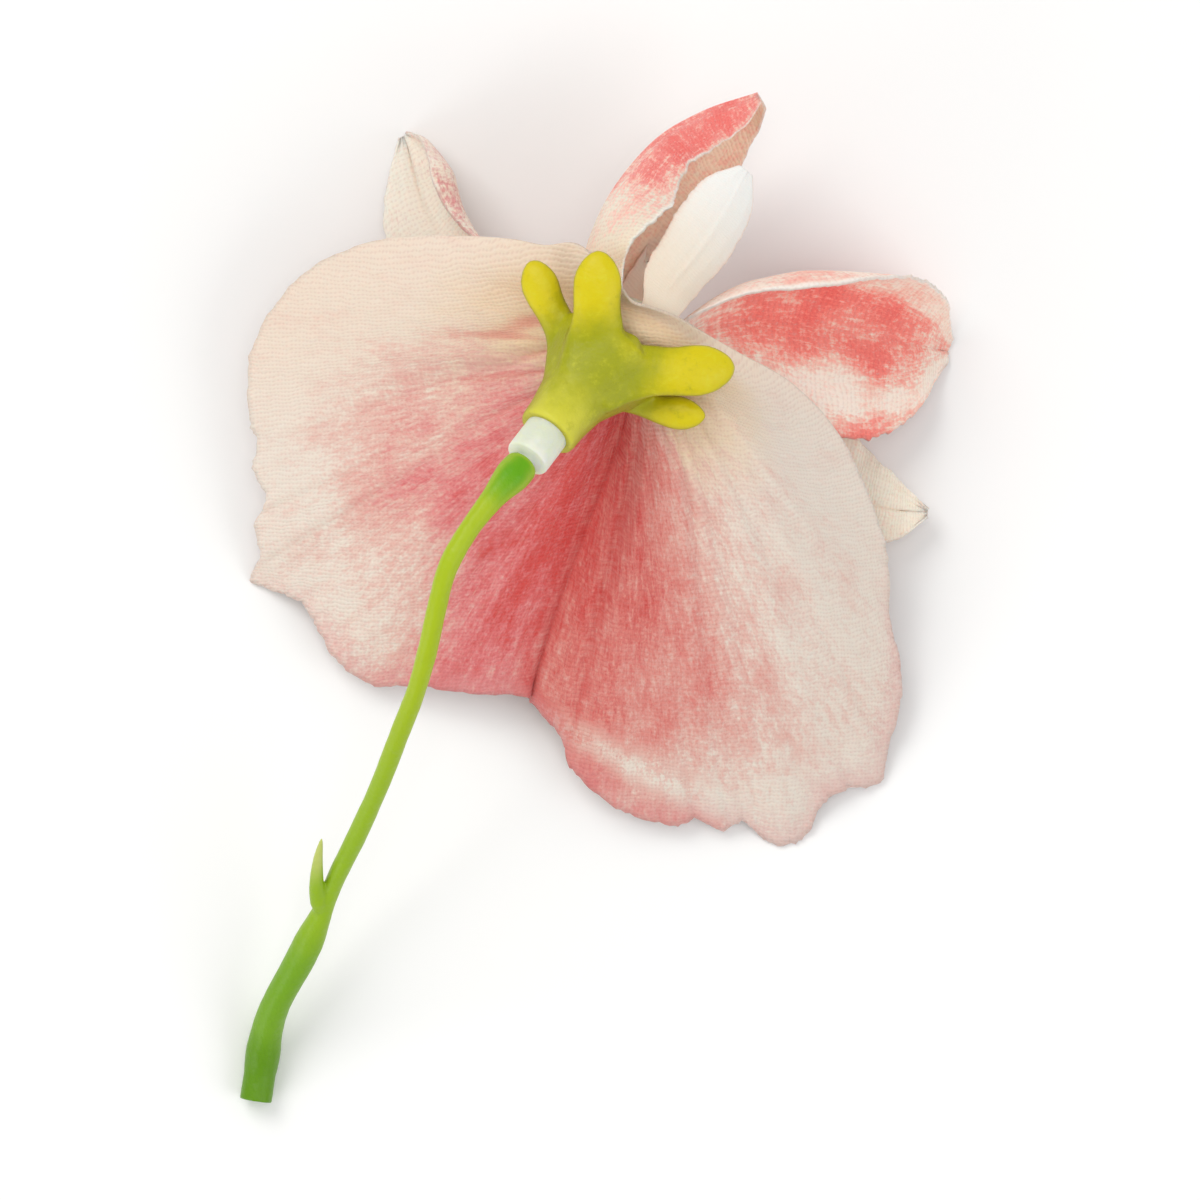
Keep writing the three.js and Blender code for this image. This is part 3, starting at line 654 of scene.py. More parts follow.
# %% The lobes
WINGS_HUB, WINGS_LEAN = 1.41, math.radians(40)
KEEL_HUB, KEEL_LEAN = 2.52, math.radians(56)
wing_lobes = [
    dict(ring=198, arc=22, facing=[-0.1, 0.3, 1], kind=1,
         path=[[-5, 4.6, 16.6], [-12, 7, 10], [-17, 12.1, 4.6], [-19.5, 19.8, 0.3]],
         left=[[0, 1.5], [0.25, 4.4], [0.5, 6.8], [0.75, 5.2], [0.93, 2.2], [1, 0.5]],
         right=[[0, 1.5], [0.25, 2.2], [0.5, 4], [0.65, 7], [0.78, 9.2], [0.93, 5.2], [1, 0.8]],
         left_roll=[[0, 0], [0.33, -0.35], [0.65, -0.7], [1, -0.7]],
         right_roll=[[0, 0], [0.25, 0.9], [0.5, 2.2], [0.65, 2.6], [0.8, 2.6], [1, 2.3]]),
    dict(ring=134, arc=20, facing=[0.8, -0.5, 0], kind=2,
         path=[[-2.8, 6.5, 22.6], [-0.5, 13, 19.6], [3.8, 18.4, 17.8], [8.4, 21.3, 17.4], [13.4, 23, 18]],
         left=[[0, 1.5], [0.15, 5.2], [0.25, 7.6], [0.35, 8.5], [0.5, 7.5], [0.65, 5.5], [0.8, 4.6],
               [0.92, 3.2], [1, 0.6]],
         right=[[0, 1.5], [0.12, 3.4], [0.25, 7], [0.5, 10.4], [0.75, 10.4], [0.92, 6.4], [1, 2.6]],
         left_roll=[[0, 0], [0.25, 0.8], [0.5, 1.6], [1, 1.6]],
         right_roll=[[0, 0], [0.12, 0.6], [0.25, 1.35], [0.5, 1.8], [0.8, 1.8], [1, 1.2]]),
    dict(ring=8, arc=24, facing=[0.1, 0.1, 1], kind=3,
         path=[[8, 1.4, 19], [15, 2.2, 12.8], [22, 1.5, 7.4], [28, 0.4, 2.8], [31.2, -0.3, 0.3]],
         left=[[0, 1.5], [0.2, 6], [0.3, 8.6], [0.4, 10.4], [0.5, 10.2], [0.6, 9.2], [0.73, 7.2],
               [0.87, 4.6], [1, 1.4]],
         right=[[0, 1.5], [0.25, 5.6], [0.5, 10], [0.62, 10.2], [0.74, 8.4], [0.87, 4.6], [1, 1.2]],
         left_roll=[[0, 0.4], [0.2, 2], [0.3, 2.5], [0.4, 2.5], [0.5, 2.2], [0.6, 1.85], [0.73, 1.35],
                    [0.87, 1], [1, 0.8]],
         right_roll=[[0, 0], [0.33, 0.15], [0.65, 0.3], [1, 0.3]]),
    dict(ring=-52, arc=26, facing=[0, 0, 1], kind=4,
         path=[[6, -4.4, 15.6], [13, -9, 8.6], [20.6, -13.4, 5], [25.4, -14.9, 4], [29.2, -15.3, 3.2]],
         left=[[0, 1.5], [0.25, 4.6], [0.5, 6], [0.75, 4], [0.92, 1.8], [1, 0.4]],
         right=[[0, 1.5], [0.25, 4.6], [0.5, 6], [0.75, 4], [0.92, 1.8], [1, 0.4]],
         left_roll=[[0, 0], [0.25, -0.2], [0.5, -0.4], [1, -0.4]],
         right_roll=[[0, 0], [0.25, 0.25], [0.5, 0.5], [1, 0.5]]),
]


def alike(half, roll):
    """The measures of a lobe whose two sides are the same."""
    return {"left": half, "right": half, "left_roll": roll, "right_roll": roll}


keel_lobes = [
    dict(ring=66, arc=26, facing=[-0.35, 0.25, -0.9], kind=5,
         path=[[4.8, 4.9, 25.4], [8, 9, 24.2], [10.4, 12.7, 22.8], [12.2, 16.1, 21.4]],
         **alike([[0, 1.5], [0.3, 3], [0.6, 3.7], [0.85, 2.9], [1, 0.9]],
                 [[0, 0], [0.2, 0.3], [0.4, 0.6], [1, 0.6]])),
    dict(ring=-98, arc=26, facing=[-0.1, 0.2, 1], kind=6,
         path=[[3, 4.2, 17], [6.2, 8, 12.6], [9, 11.6, 9.6], [11.2, 14.6, 7.6]],
         **alike([[0, 1.5], [0.3, 3], [0.6, 3.6], [0.85, 2.6], [1, 0.5]],
                 [[0, 0], [0.2, 0.4], [0.4, 0.8], [1, 0.8]])),
]
print("lobes to cut:", len(wing_lobes), "on the wings and", len(keel_lobes), "on the keel")

# %% [markdown]
# A lobe's cross-section is a bent line: half the width to each side, rolled up to an arc by that side's
# angle. It travels along the path and turns with it. Close to the hub it melts into straight spokes, so that
# the cloth leaves the ring without a kink. Ripples and a pressed middle rib keep it from looking machined.

# %% The shape of a lobe
def lobe_surface(lobe, hub_along, lean, along, across):
    """The middle of a lobe's cloth. along runs from 0 at the hub to 1, across from -1 to 1."""
    angle = np.radians(lobe["ring"] + lobe["arc"] * across)
    from_rim = on_ring(np.full(angle.shape, hub_along), np.full(angle.shape, HUB_R), angle)
    from_rim = from_rim + spoke(angle, lean) * (along * 12)[..., None]
    start = on_ring(hub_along, HUB_R, math.radians(lobe["ring"]))
    path = np.vstack([start, beside_mouth(lobe["path"])])
    centre, outward, facing = frame_along(path, along, lobe["facing"], 1e-4)
    half = np.where(across < 0, profile(lobe["left"], along), profile(lobe["right"], along))
    teeth = 0.03 * ripple(along * 30, 20 + lobe["kind"]) + 0.02 * ripple(along * 95, 30 + lobe["kind"])
    half = half * (1 + teeth * smooth(np.abs(across), 0.8, 1))
    roll = np.where(across < 0, profile(lobe["left_roll"], along), profile(lobe["right_roll"], along)) + 1e-3
    bent = roll * np.abs(across)
    body = centre + outward * (np.sign(across) * half * np.sin(bent) / roll)[..., None]
    body = body + facing * (half * (1 - np.cos(bent)) / roll)[..., None]
    seed = 40 + 5 * lobe["kind"]
    wave = 0.3 * ripple(along * 9, seed) * across**2
    wave = wave + 0.12 * ripple(along * 22, seed + 1) * np.abs(across) ** 3
    wave = wave + 0.12 * ripple(across * 5 + along * 2, seed + 2) - 0.25 * np.exp(-((across / 0.06) ** 2))
    body = body + facing * (wave * smooth(along, 0.15, 0.4) * (0.35 if lobe["kind"] > 4 else 1))[..., None]
    blend = smooth(along, 0, 0.3)[..., None]
    return from_rim * (1 - blend) + body * blend, half


ALONG, ACROSS = 110, 40
along, across = np.meshgrid(np.linspace(0, 1, ALONG + 1), np.linspace(-1, 1, ACROSS + 1), indexing="ij")
along, across = along.T, across.T
print("points in a lobe's grid:", along.size)

# %% [markdown]
# The print left each lobe its own share of red. The folded one is deep outside and pale inside. The right one
# is deep in the middle, with a pale lower side and a spot of red at its rim. The first has a blush on one
# side only, and the keel stays white.

# %% Where the lobes are printed
def lobe_ink(kind, along, across):
    """How much red a lobe holds, from 0 to 1."""
    if kind == 1:
        return 0.26 * smooth(across, 0.3, 0.75) * np.interp(along, [0.4, 0.7, 1], [1, 0.8, 0.35])
    if kind == 2:
        outside = np.interp(along, [0.25, 0.45, 0.62, 1], [0.02, 0.4, 0.76, 0.7])
        outside = outside * (1 - 0.35 * smooth(-across, 0.7, 1))
        inside = np.interp(along, [0.3, 0.6, 0.85, 1], [0.05, 0.12, 0.18, 0.16])
        return outside + (inside - outside) * smooth(across, -0.05, 0.3)
    if kind == 3:
        ink = np.interp(along, [0.15, 0.3, 0.5, 0.7, 0.85, 1], [0.1, 0.62, 0.82, 0.72, 0.5, 0.3])
        ink = ink * (1 - 0.85 * smooth(across + 0.15 * np.sin(along * 14), 0.2, 0.6))
        patch = np.exp(-(((along - 0.62) / 0.14) ** 2)) * smooth(across, 0.66, 0.9)
        return ink * (1 - 0.7 * smooth(-across, 0.4, 0.6)) + 0.15 * smooth(across, 0.85, 1) + 0.55 * patch
    return 0.04 * np.ones_like(along) if kind == 4 else 0 * along


for kind in range(1, 5):
    print("mean ink on lobe", kind, "is", lobe_ink(kind, along, across).mean().round(2))

# %% [markdown]
# Each lobe becomes a grid, the hub ring takes the points of all their first rows in turn, and the cloth
# builder welds them. The flat places are spread out side by side, so that every lobe gets its own stretch of
# the woven cloth.

# %% Wings and keel as cloth
LOBE_PITCH, LOBE_LENGTH, HUB_PLACE = 22.0, 32.0, -18
RING_STEP = 0.2


def lobed_cloth(name, lobes, hub_along, lean):
    """One cloth: its lobes and the hub ring that joins them."""
    grids, rims = [], []
    for place, lobe in enumerate(lobes):
        points, half = lobe_surface(lobe, hub_along, lean, along, across)
        points[..., 2] = np.maximum(points[..., 2], CLOTH / 2 + FLOOR_GAP)
        spine = np.linalg.norm(np.diff(points[ACROSS // 2], axis=0), axis=1).sum()
        size = [float(spine.round(1)), float((half[0] + half[-1]).max().round(1))]
        print(name, "lobe", place + 1, "lies flat in", size, "mm")
        flat = np.stack([across * half + LOBE_PITCH * place, along * LOBE_LENGTH], -1)
        layers = {"along": along, "across": across, "kind": np.full(along.shape, float(lobe["kind"]))}
        layers["ink"] = lobe_ink(lobe["kind"], along, across)
        grids.append((points, layers, flat))
        rims.append(np.radians((lobe["ring"] + lobe["arc"] * across[:, 0] + 360) % 360))
    rim = np.sort(np.concatenate(rims))
    rim = np.append(rim, rim[0] + 2 * np.pi)
    angles = [rim[0]]
    for low, high in zip(rim, rim[1:]):
        angles += list(np.linspace(low, high, max(1, math.ceil((high - low) / RING_STEP)) + 1)[1:])
    angles = np.array(angles)
    grids.append(hub_grid(hub_along, angles, angles, {}, HUB_PLACE))
    obj = cloth_object(name, grids)
    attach(obj, "root")
    return obj


wings = lobed_cloth("wing_cloth", wing_lobes, WINGS_HUB, WINGS_LEAN)
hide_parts("wings")
keel = lobed_cloth("keel_cloth", keel_lobes, KEEL_HUB, KEEL_LEAN)
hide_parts("keel")

# %% [markdown]
# ## The moulded pieces
# The calyx and the stalk are soft plastic mouldings with no sharp inner corners, and the peg is a turned
# shape. All are drawn as rings of points that follow each other: ovals along a curve for a limb, circles on
# the bloom's axis for what is turned.

# %% Limbs and turned shapes
def band_faces(bands, sides):
    """Quads between rings of points that follow each other."""
    k = np.arange(sides)
    faces = []
    for i in range(bands):
        a, b = i * sides + k, i * sides + (k + 1) % sides
        faces += np.stack([a, b, b + sides, a + sides], -1).tolist()
    return faces


def sweep(points, facing, size_at, steps, sides, crowd=1.0):
    """A closed body of ovals along a curve. size_at gives half the width and half the thickness. A crowd over
    1 draws the ovals together at the far end."""
    u = 1 - (1 - np.linspace(0, 1, steps + 1)) ** crowd
    centre, across, lift = frame_along(points, u, facing, 1e-3)
    half, thick = size_at(u)
    turn = np.linspace(0, 2 * np.pi, sides, endpoint=False)
    oval = across[:, None] * (half[:, None] * np.cos(turn))[..., None]
    oval = oval + lift[:, None] * (thick[:, None] * np.sin(turn))[..., None]
    rings = (centre[:, None] + oval).reshape(-1, 3)
    first, last, top = len(rings), len(rings) + 1, steps * sides
    faces = band_faces(steps, sides)
    faces += [[first, (j + 1) % sides, j] for j in range(sides)]
    faces += [[last, top + j, top + (j + 1) % sides] for j in range(sides)]
    return np.vstack([rings, centre[:1], centre[-1:]]), faces


def turned(stops, sides):
    """A body turned on the bloom's axis from [along, radius] stops."""
    stops = np.array(stops, float)
    turn = np.tile(np.linspace(0, 2 * np.pi, sides, endpoint=False), (len(stops), 1))
    rings = on_ring(np.repeat(stops[:, :1], sides, 1), np.repeat(stops[:, 1:], sides, 1), turn)
    faces = band_faces(len(stops) - 1, sides)
    faces.append(list(range(sides - 1, -1, -1)))
    faces.append(list(range((len(stops) - 1) * sides, len(stops) * sides)))
    return rings.reshape(-1, 3), faces


print("a turned disc of 8 sides has", len(turned([[0, 1], [1, 1]], 8)[1]), "faces")

# %% [markdown]
# Limbs that only overlap would show a seam where they meet. So they are swept apart, joined in one fine voxel
# skin, and that skin is relaxed a little. It closes the corners with small fillets, as the mould does. The
# points of the new skin then get the measures that the finish needs.

# %% One skin over several bodies
EASE = 0.5


def skin(name, bodies, voxel, relax):
    """Joins closed bodies in one voxel skin and relaxes it."""
    vertices, faces = [], []
    for body_vertices, body_faces in bodies:
        base = sum(len(v) for v in vertices)
        vertices.append(body_vertices)
        faces += [[index + base for index in face] for face in body_faces]
    obj = link_mesh(name, np.vstack(vertices), faces)
    remesh = obj.modifiers.new("skin", "REMESH")
    remesh.mode = "VOXEL"
    remesh.voxel_size = voxel * MM
    ease = obj.modifiers.new("ease", "SMOOTH")
    ease.factor = EASE
    ease.iterations = relax
    ready = bpy.data.meshes.new_from_object(obj.evaluated_get(bpy.context.evaluated_depsgraph_get()))
    obj.modifiers.clear()
    obj.data = ready
    obj.data.name = name
    obj.data.shade_smooth()
    print(name, "faces:", len(obj.data.polygons))
    return obj


def points_of(obj):
    """The mesh's points in millimetres."""
    flat = np.empty(len(obj.data.vertices) * 3)
    obj.data.vertices.foreach_get("co", flat)
    return flat.reshape(-1, 3) / MM


def upness(obj):
    """How much each point's surface faces up: 1 on top, 0 on the sides and below."""
    flat = np.empty(len(obj.data.vertices) * 3, np.float32)
    obj.data.vertex_normals.foreach_get("vector", flat)
    return np.maximum(flat.reshape(-1, 3)[:, 2], 0)


def store(obj, name, values):
    """A number for each point of the mesh, which a material can read."""
    layer = obj.data.attributes.new(name, "FLOAT", "POINT")
    layer.data.foreach_set("value", np.asarray(values, np.float32))
    low, high = float(np.min(values)), float(np.max(values))
    print(f"{name} on {obj.name} runs from {low:.2f} to {high:.2f}")


print("one step of relaxing moves a point", EASE, "of the way to its neighbours' middle")

# %% [markdown]
# ## The calyx
# On a real sweet pea it is the green cup that holds the petals. Here it is a moulded funnel, slipped over the
# peg, with five thick tongues. Each tongue starts deep in the funnel's wall, so that the skin can round the
# notch between two of them, and a short web fills the notch on top.

# %% The calyx
calyx_tongues = [
    dict(ring=170, tip=[-7.6, 7.8, 27.2], half=1.75, root=0.8),
    dict(ring=112, tip=[-1.3, 8.6, 31.6], half=2.15, root=1.1),
    dict(ring=46, tip=[11.2, -2.1, 27.6], half=2.3, root=1.0),
    dict(ring=-30, tip=[8.5, -6.6, 26], half=1.6, root=0.6),
    dict(ring=-112, tip=[-3.4, -7.6, 19.4], half=1.9),
]
TONGUE_ROOT, TONGUE_RIM = (-6.4, 2.5), (-2.9, 4.2)


def tongue(ring, tip, half, root=1.0, thick=1.05):
    """One tongue of the calyx, from inside the funnel's wall to its rounded tip."""
    angle = math.radians(ring)
    start, rim = on_ring(*TONGUE_ROOT, angle), on_ring(*TONGUE_RIM, angle)
    end = beside_mouth(tip)
    middle = (rim + end) / 2 + spoke(angle) * 0.3
    wide = [[0, 0.8 * root], [0.3, 1.15 * root], [0.55, 0.5 + 0.5 * root], [0.8, 1.08], [1, 1]]

    def size(u):
        taper = np.sqrt(np.maximum(0.001, 1 - np.clip((u - 0.68) / 0.32, 0, 1) ** 2.1))
        return half * profile(wide, u) * taper, thick * taper

    facing = UP + spoke(angle) * 0.35
    return sweep([start, rim, middle, end], facing, size, steps=60, sides=32, crowd=1.8)


web = tongue(76, [0.8, 1.1, 29.2], half=1.7, thick=0.9)
funnel = turned([
    [-11.5, 2.4], [-11.6, 2.5], [-11.6, 2.66], [-11.45, 2.8], [-9.5, 2.9], [-7, 3.3], [-4.8, 4.3], [-3, 5.25],
    [-1.9, 5.75], [-1.5, 5.7], [-1.3, 5.2], [-1.2, 3.6], [-0.35, 3.0], [-0.32, 2.5],
], 96)
tongues = [tongue(**shape) for shape in calyx_tongues]
calyx = skin("calyx_moulding", [funnel, web, *tongues], voxel=0.17, relax=28)
spots = points_of(calyx)
from_mouth = spots - MOUTH
store(calyx, "along", from_mouth @ AXIS)
store(calyx, "reach", np.linalg.norm(np.cross(from_mouth, AXIS), axis=1))
store(calyx, "up", upness(calyx))
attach(calyx, "root")
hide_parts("calyx")

# %% [markdown]
# ## The peg
# A turned shape does for it. Only the collar between calyx and stalk shows from behind, and the head shows
# from the front, at the bottom of the flower.

# %% The peg
COLLAR_END, SHANK_R, TAIL_R, HOLE_R = -14.92, 2.1, 0.8, 1.38
peg_shape = [
    [COLLAR_END - 2.3, TAIL_R - 0.2], [COLLAR_END - 2.15, TAIL_R], [COLLAR_END - 0.02, TAIL_R],
    [COLLAR_END, SHANK_R - 0.22], [COLLAR_END + 0.07, SHANK_R - 0.06], [COLLAR_END + 0.22, SHANK_R],
    [-12.6, SHANK_R], [-12.3, SHANK_R - 0.01], [-3.2, SHANK_R - 0.01], [-3, SHANK_R - 0.2], [-2.98, HOLE_R],
    [3.12, HOLE_R], [3.14, 2.2], [3.22, 2.36], [3.4, 2.4], [3.8, 2.36], [4.2, 2.1], [4.6, 1.6], [4.85, 0.9],
    [4.95, 0.3],
]
peg = link_mesh("peg_moulding", *turned(peg_shape, 72))
peg.data.shade_smooth()
store(peg, "along", (points_of(peg) - MOUTH) @ AXIS)
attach(peg, "root")
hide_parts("peg")

# %% [markdown]
# ## The stalk
# It is a moulding too: a cup that takes the peg, a thin bent part, a pointed bract and a thicker foot with
# a knee, cut through at the end. A curve through measured points and a radius along it draw all but the
# bract, which gets a short curve of its own.

# %% The stalk
STALK_END = -15.4
SPOTS_ALONG = 900
stalk_path = [
    [-10.6, -13.6, 34], [-13.2, -17, 35], [-15.1, -20.4, 35], [-16.1, -24, 33.9], [-17, -28, 31.8],
    [-18.1, -31.8, 29], [-19.6, -35.6, 25.7], [-21.5, -40.4, 21.2], [-23.6, -45, 16.8],
    [-25.6, -49, 13.2], [-27.2, -52.8, 10.2], [-29, -56.6, 7.6], [-31.2, -60.6, 5.2],
    [-32.2, -63.4, 3.2], [-32.8, -66.8, 1.75], [-33.3, -70, 1.62],
]
stalk_path = np.vstack([on_ring(STALK_END, 0, 0), beside_mouth(stalk_path)])
stalk_radius = [
    [0, 1.5], [0.012, 1.6], [0.035, 1.55], [0.07, 1.15], [0.12, 0.95], [0.6, 0.9], [0.67, 0.92], [0.73, 1.4],
    [0.8, 1.35], [0.87, 1.45], [0.915, 1.65], [0.95, 1.5], [1, 1.5],
]
bract_path = beside_mouth([[-26.9, -53, 10.4], [-27.4, -50.2, 12.9], [-27.3, -47.6, 15.2],
                           [-26.9, -45.4, 17.4]])


def stalk_size(u):
    """The stalk's radius, twice, with a slight unevenness and a softened rim at the cup."""
    r = profile(stalk_radius, u) + 0.03 * ripple(u * 50, 60)
    r = r * (1 - 0.1 * np.exp(-((u / 0.004) ** 2)))
    return r, r


def bract_size(u):
    """Half the bract's width and thickness, down to its point."""
    root = np.sqrt(np.clip(u / 0.2, 0.1, 1))
    return root * (0.85 * (1 - u) ** 0.7 + 0.1), root * (0.7 * (1 - u) ** 0.7 + 0.1)


shaft = sweep(stalk_path, UP, stalk_size, steps=420, sides=28)
bract = sweep(bract_path, UP, bract_size, steps=60, sides=24)
stalk = skin("stalk_moulding", [shaft, bract], voxel=0.14, relax=3)
samples = np.linspace(0, 1, SPOTS_ALONG)
line = curve_at(stalk_path, samples)
tree = kdtree.KDTree(len(line))
for index, spot in enumerate(line):
    tree.insert(spot, index)
tree.balance()
spots = points_of(stalk)
nearest = [tree.find(spot) for spot in spots]
store(stalk, "along", [samples[index] for _, index, _ in nearest])
tip_line = np.linalg.norm(spots - bract_path[-1], axis=1)
off_stalk = np.array([distance for _, _, distance in nearest])
store(stalk, "up", upness(stalk))
store(stalk, "bract", (1 - smooth(tip_line, 2.0, 6.5)) * smooth(off_stalk, 1.3, 2.4))
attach(stalk, "root")
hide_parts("stalk")

# %% [markdown]
# ## Printed cloth
# The petals are white polyester, woven with about 22 threads to the centimetre and dyed in a soft, brushed
# print: cream at the rim, rose towards the crease and the heart. The dyes are given as linear colours, pale
# and deep ones for each cloth, and every print below is mixed from them. A few of them are lifted brighter
# than the dye as painted light, for cloth that lies in shade.

# %% The dyes
cream = colour(0.80, 0.66, 0.55)
warm_cream = colour(0.83, 0.59, 0.37)
pale = colour(0.80, 0.69, 0.60)
blush = colour(0.74, 0.42, 0.36)
rose = colour(0.69, 0.21, 0.18)
pink_rose = colour(0.70, 0.20, 0.205)
deep_rose = colour(0.60, 0.06, 0.055)
magenta = colour(0.68, 0.30, 0.30)
ivory = colour(0.88, 0.76, 0.65)
white_cloth = colour(0.91, 0.89, 0.85)
coral = colour(0.90, 0.22, 0.2)
flush = colour(1.0, 0.77, 0.67)
# Painted light: a blush lifted brighter for cloth in the folds' shade.
blush_painted_light = colour(0.98, 0.50, 0.42)
# Painted light: a coral lifted brighter for the right lobe, shaded by its rolled rim.
coral_painted_light = colour(1.0, 0.24, 0.2)
deep_coral = colour(0.88, 0.14, 0.12)
peach = colour(1.0, 0.91, 0.82)
# Painted light: apricot lifted bright for the shaded inside of the folded lobe.
apricot_painted_light = colour(1.0, 0.74, 0.60)
# Painted light: a cream lifted brighter for the lobe in the banner's shade.
shell_painted_light = colour(1.0, 0.83, 0.69)
print("linear red, green and blue of the deepest dye:", deep_rose[:3])

# %% [markdown]
# Up close the cloth shows its threads, so the weave is two crossed waves of fine relief over the flat places,
# with painted shade darkening the gaps between the threads. A little sheen and a dull, uneven surface make it
# cloth, and light that travels inside keeps the thin petals from looking like painted metal.

# %% Weave and cloth finish
THREAD = 0.45
WEAVE_RELIEF = 0.00006


def weave(bench, flat, depth=1.0):
    """The weave's height, from -1 to 1, at flat places on the cloth in millimetres."""
    split = bench.node("ShaderNodeSeparateXYZ", {}, [flat])
    wander = bench.noise(flat, 0.5, 2) * 0.9
    x, y = split, Maths(bench, split.socket.node.outputs[1])
    turn_x, turn_y = (x + wander) * (2 * math.pi / THREAD), (y + wander) * (2 * math.pi / THREAD)
    return turn_x.sin() * (0.32 * depth) + turn_y.sin() * (0.68 * depth)


def finish_cloth(bench, tone, flat, depth=1.0, glow=0.3):
    """What every petal shares: threads, a faint grain, a dull surface and light through the cloth."""
    threads = weave(bench, flat, depth)
    grain = bench.noise(flat, 2.2, 4, 0.7)
    lit = bench.mix(grain.step(0.35, 0.8) * 0.07, tone, colour(0.93, 0.87, 0.8))
    # Painted shade: the gaps between the threads are darkened in the colour.
    gaps = (threads * -0.6 + grain * 0.4 - 0.2).step(0.0, 0.6)
    lit = bench.tint(gaps * 0.5, lit, colour(0.86, 0.77, 0.77))
    bench.set(Base_Color=lit, Roughness=grain * 0.15 + 0.72)
    bench.set(Subsurface_Weight=glow, Subsurface_Radius=(0.0012, 0.0007, 0.0006), Subsurface_Scale=1.0)
    bench.set(Sheen_Weight=0.06, Sheen_Roughness=0.5, Specular_IOR_Level=0.25)
    bench.bump(threads * 0.6 + grain * 0.8, WEAVE_RELIEF, 0.7)


print("threads to the centimetre:", round(10 / THREAD))

# %% [markdown]
# The banner's print is brushed on from the claw outwards. Noise stretched along the fan lines gives the
# brush's streaks, a coarser one its strokes, and unstretched ones the blotches and speckles. Added to the
# stored ink they decide how deep the dye is, and a few soft steps turn that into colour.

# %% The banner's ink
b = Bench("printed_banner_cloth")
flat = b.place("cloth")
fan, out_share, north, arc_length = b.layer("fan"), b.layer("out"), b.layer("north"), b.layer("arc")
streaks = b.spread(b.grid(fan * 0.95, arc_length * 0.42), 1.0, 4, 0.8)
broad_streaks = b.spread(b.grid(fan * 0.2, arc_length * 0.12), 1.0, 3, 0.6)
blotch = b.spread(flat, 0.15, 4, 0.6)
speckle = b.spread(flat, 1.9, 4, 0.75)
brushed = streaks * 0.30 + broad_streaks * 0.16 + blotch * 0.16 + speckle * 0.22
bare = b.layer("bare")
ink = b.layer("ink") + brushed * (b.layer("ink").step(-0.25, 0.5) * 0.75 + 0.12 + bare * 0.3)
ink = ink - bare * (blotch * 0.5 + speckle * 0.4 + streaks * 0.6 + 0.5).step(0.2, 0.8) * 0.6
print("nodes for the banner's ink:", len(b.nodes))

# %% [markdown]
# The colours follow from pale to deep. The claw is warmer than the rim, the crease's fold lines and the
# pleats at the claw are darkened with painted shade, pale hairs of bare thread cross the red, and the right
# lobe's rim is tinted again.

# %% The banner's colours
claw = (1.0 - (arc_length + blotch * 3.0).step(7.0, 23.0)) * (1.0 - out_share.step(0.5, 0.9) * 0.75)
hairs = b.spread(b.grid(fan * 1.7, arc_length * 0.3), 1.0, 3, 0.8)
flecks = (streaks * 0.4 + speckle * 0.45 + hairs * 0.45).step(0.1, 0.9) * ink.step(0.2, 0.6)
flecks = flecks * (1.0 - ink.step(0.75, 1.15) * 0.6)
rim = (out_share + speckle * 0.02 + brushed * 0.05).step(0.93, 1.0) * (north * -1.0).step(16.0, 30.0)
tone = b.coats(
    b.mix(north.step(-12.0, 4.0), pale, cream),
    ((blotch * 0.6 + broad_streaks * 0.5).step(0.0, 1.1) * 0.3, blush),
    (claw * 0.85, warm_cream),
    (ink.step(0.02, 0.46), blush),
    (ink.step(0.34, 0.78), b.mix(b.layer("on_left"), rose, pink_rose)),
    (ink.step(0.64, 1.08), deep_rose),
    # Painted shade: the crease's fold lines and the sunk pleats are darkened towards deep rose and rose.
    ((b.layer("pinch") + brushed * 0.3).step(0.15, 1.1) * 0.55, deep_rose),
    ((b.layer("pleat") + brushed * 0.6).step(0.2, 1.1) * 0.6, rose),
    (flecks * 0.62, pale),
    (rim * 0.4, magenta),
)
finish_cloth(b, tone, flat)
b.dress(banner)

# %% [markdown]
# The lobes of the wings carry the same print by their own length and width: cream at the claw and the rim,
# coral in the middle. Each lobe has its number stored as its kind, and a mask made from it lets one material
# give each lobe its own cloth colour and edge. Where a lobe lies in shade, its colours are lifted brighter as
# painted light.

# %% The wings' finish
b = Bench("printed_wing_cloth")
flat = b.place("cloth")
along, across, kind = b.layer("along"), b.layer("across"), b.layer("kind")
streaks = b.spread(b.grid(across * 20.0 + kind * 7.0, along * 13.0), 1.0, 4, 0.8)
blotch = b.spread(flat, 0.2, 4, 0.6)
speckle = b.spread(flat, 1.9, 4, 0.75)
brushed = streaks * 0.42 + blotch * 0.38 + speckle * 0.44
ink = b.layer("ink") + brushed * (b.layer("ink").step(-0.25, 0.5) * 0.9 + 0.1)


def only(number):
    """1 on one lobe and 0 on the others."""
    return (kind - (number - 0.5)).step(-0.01, 0.01) * (1.0 - (kind - (number + 0.5)).step(-0.01, 0.01))


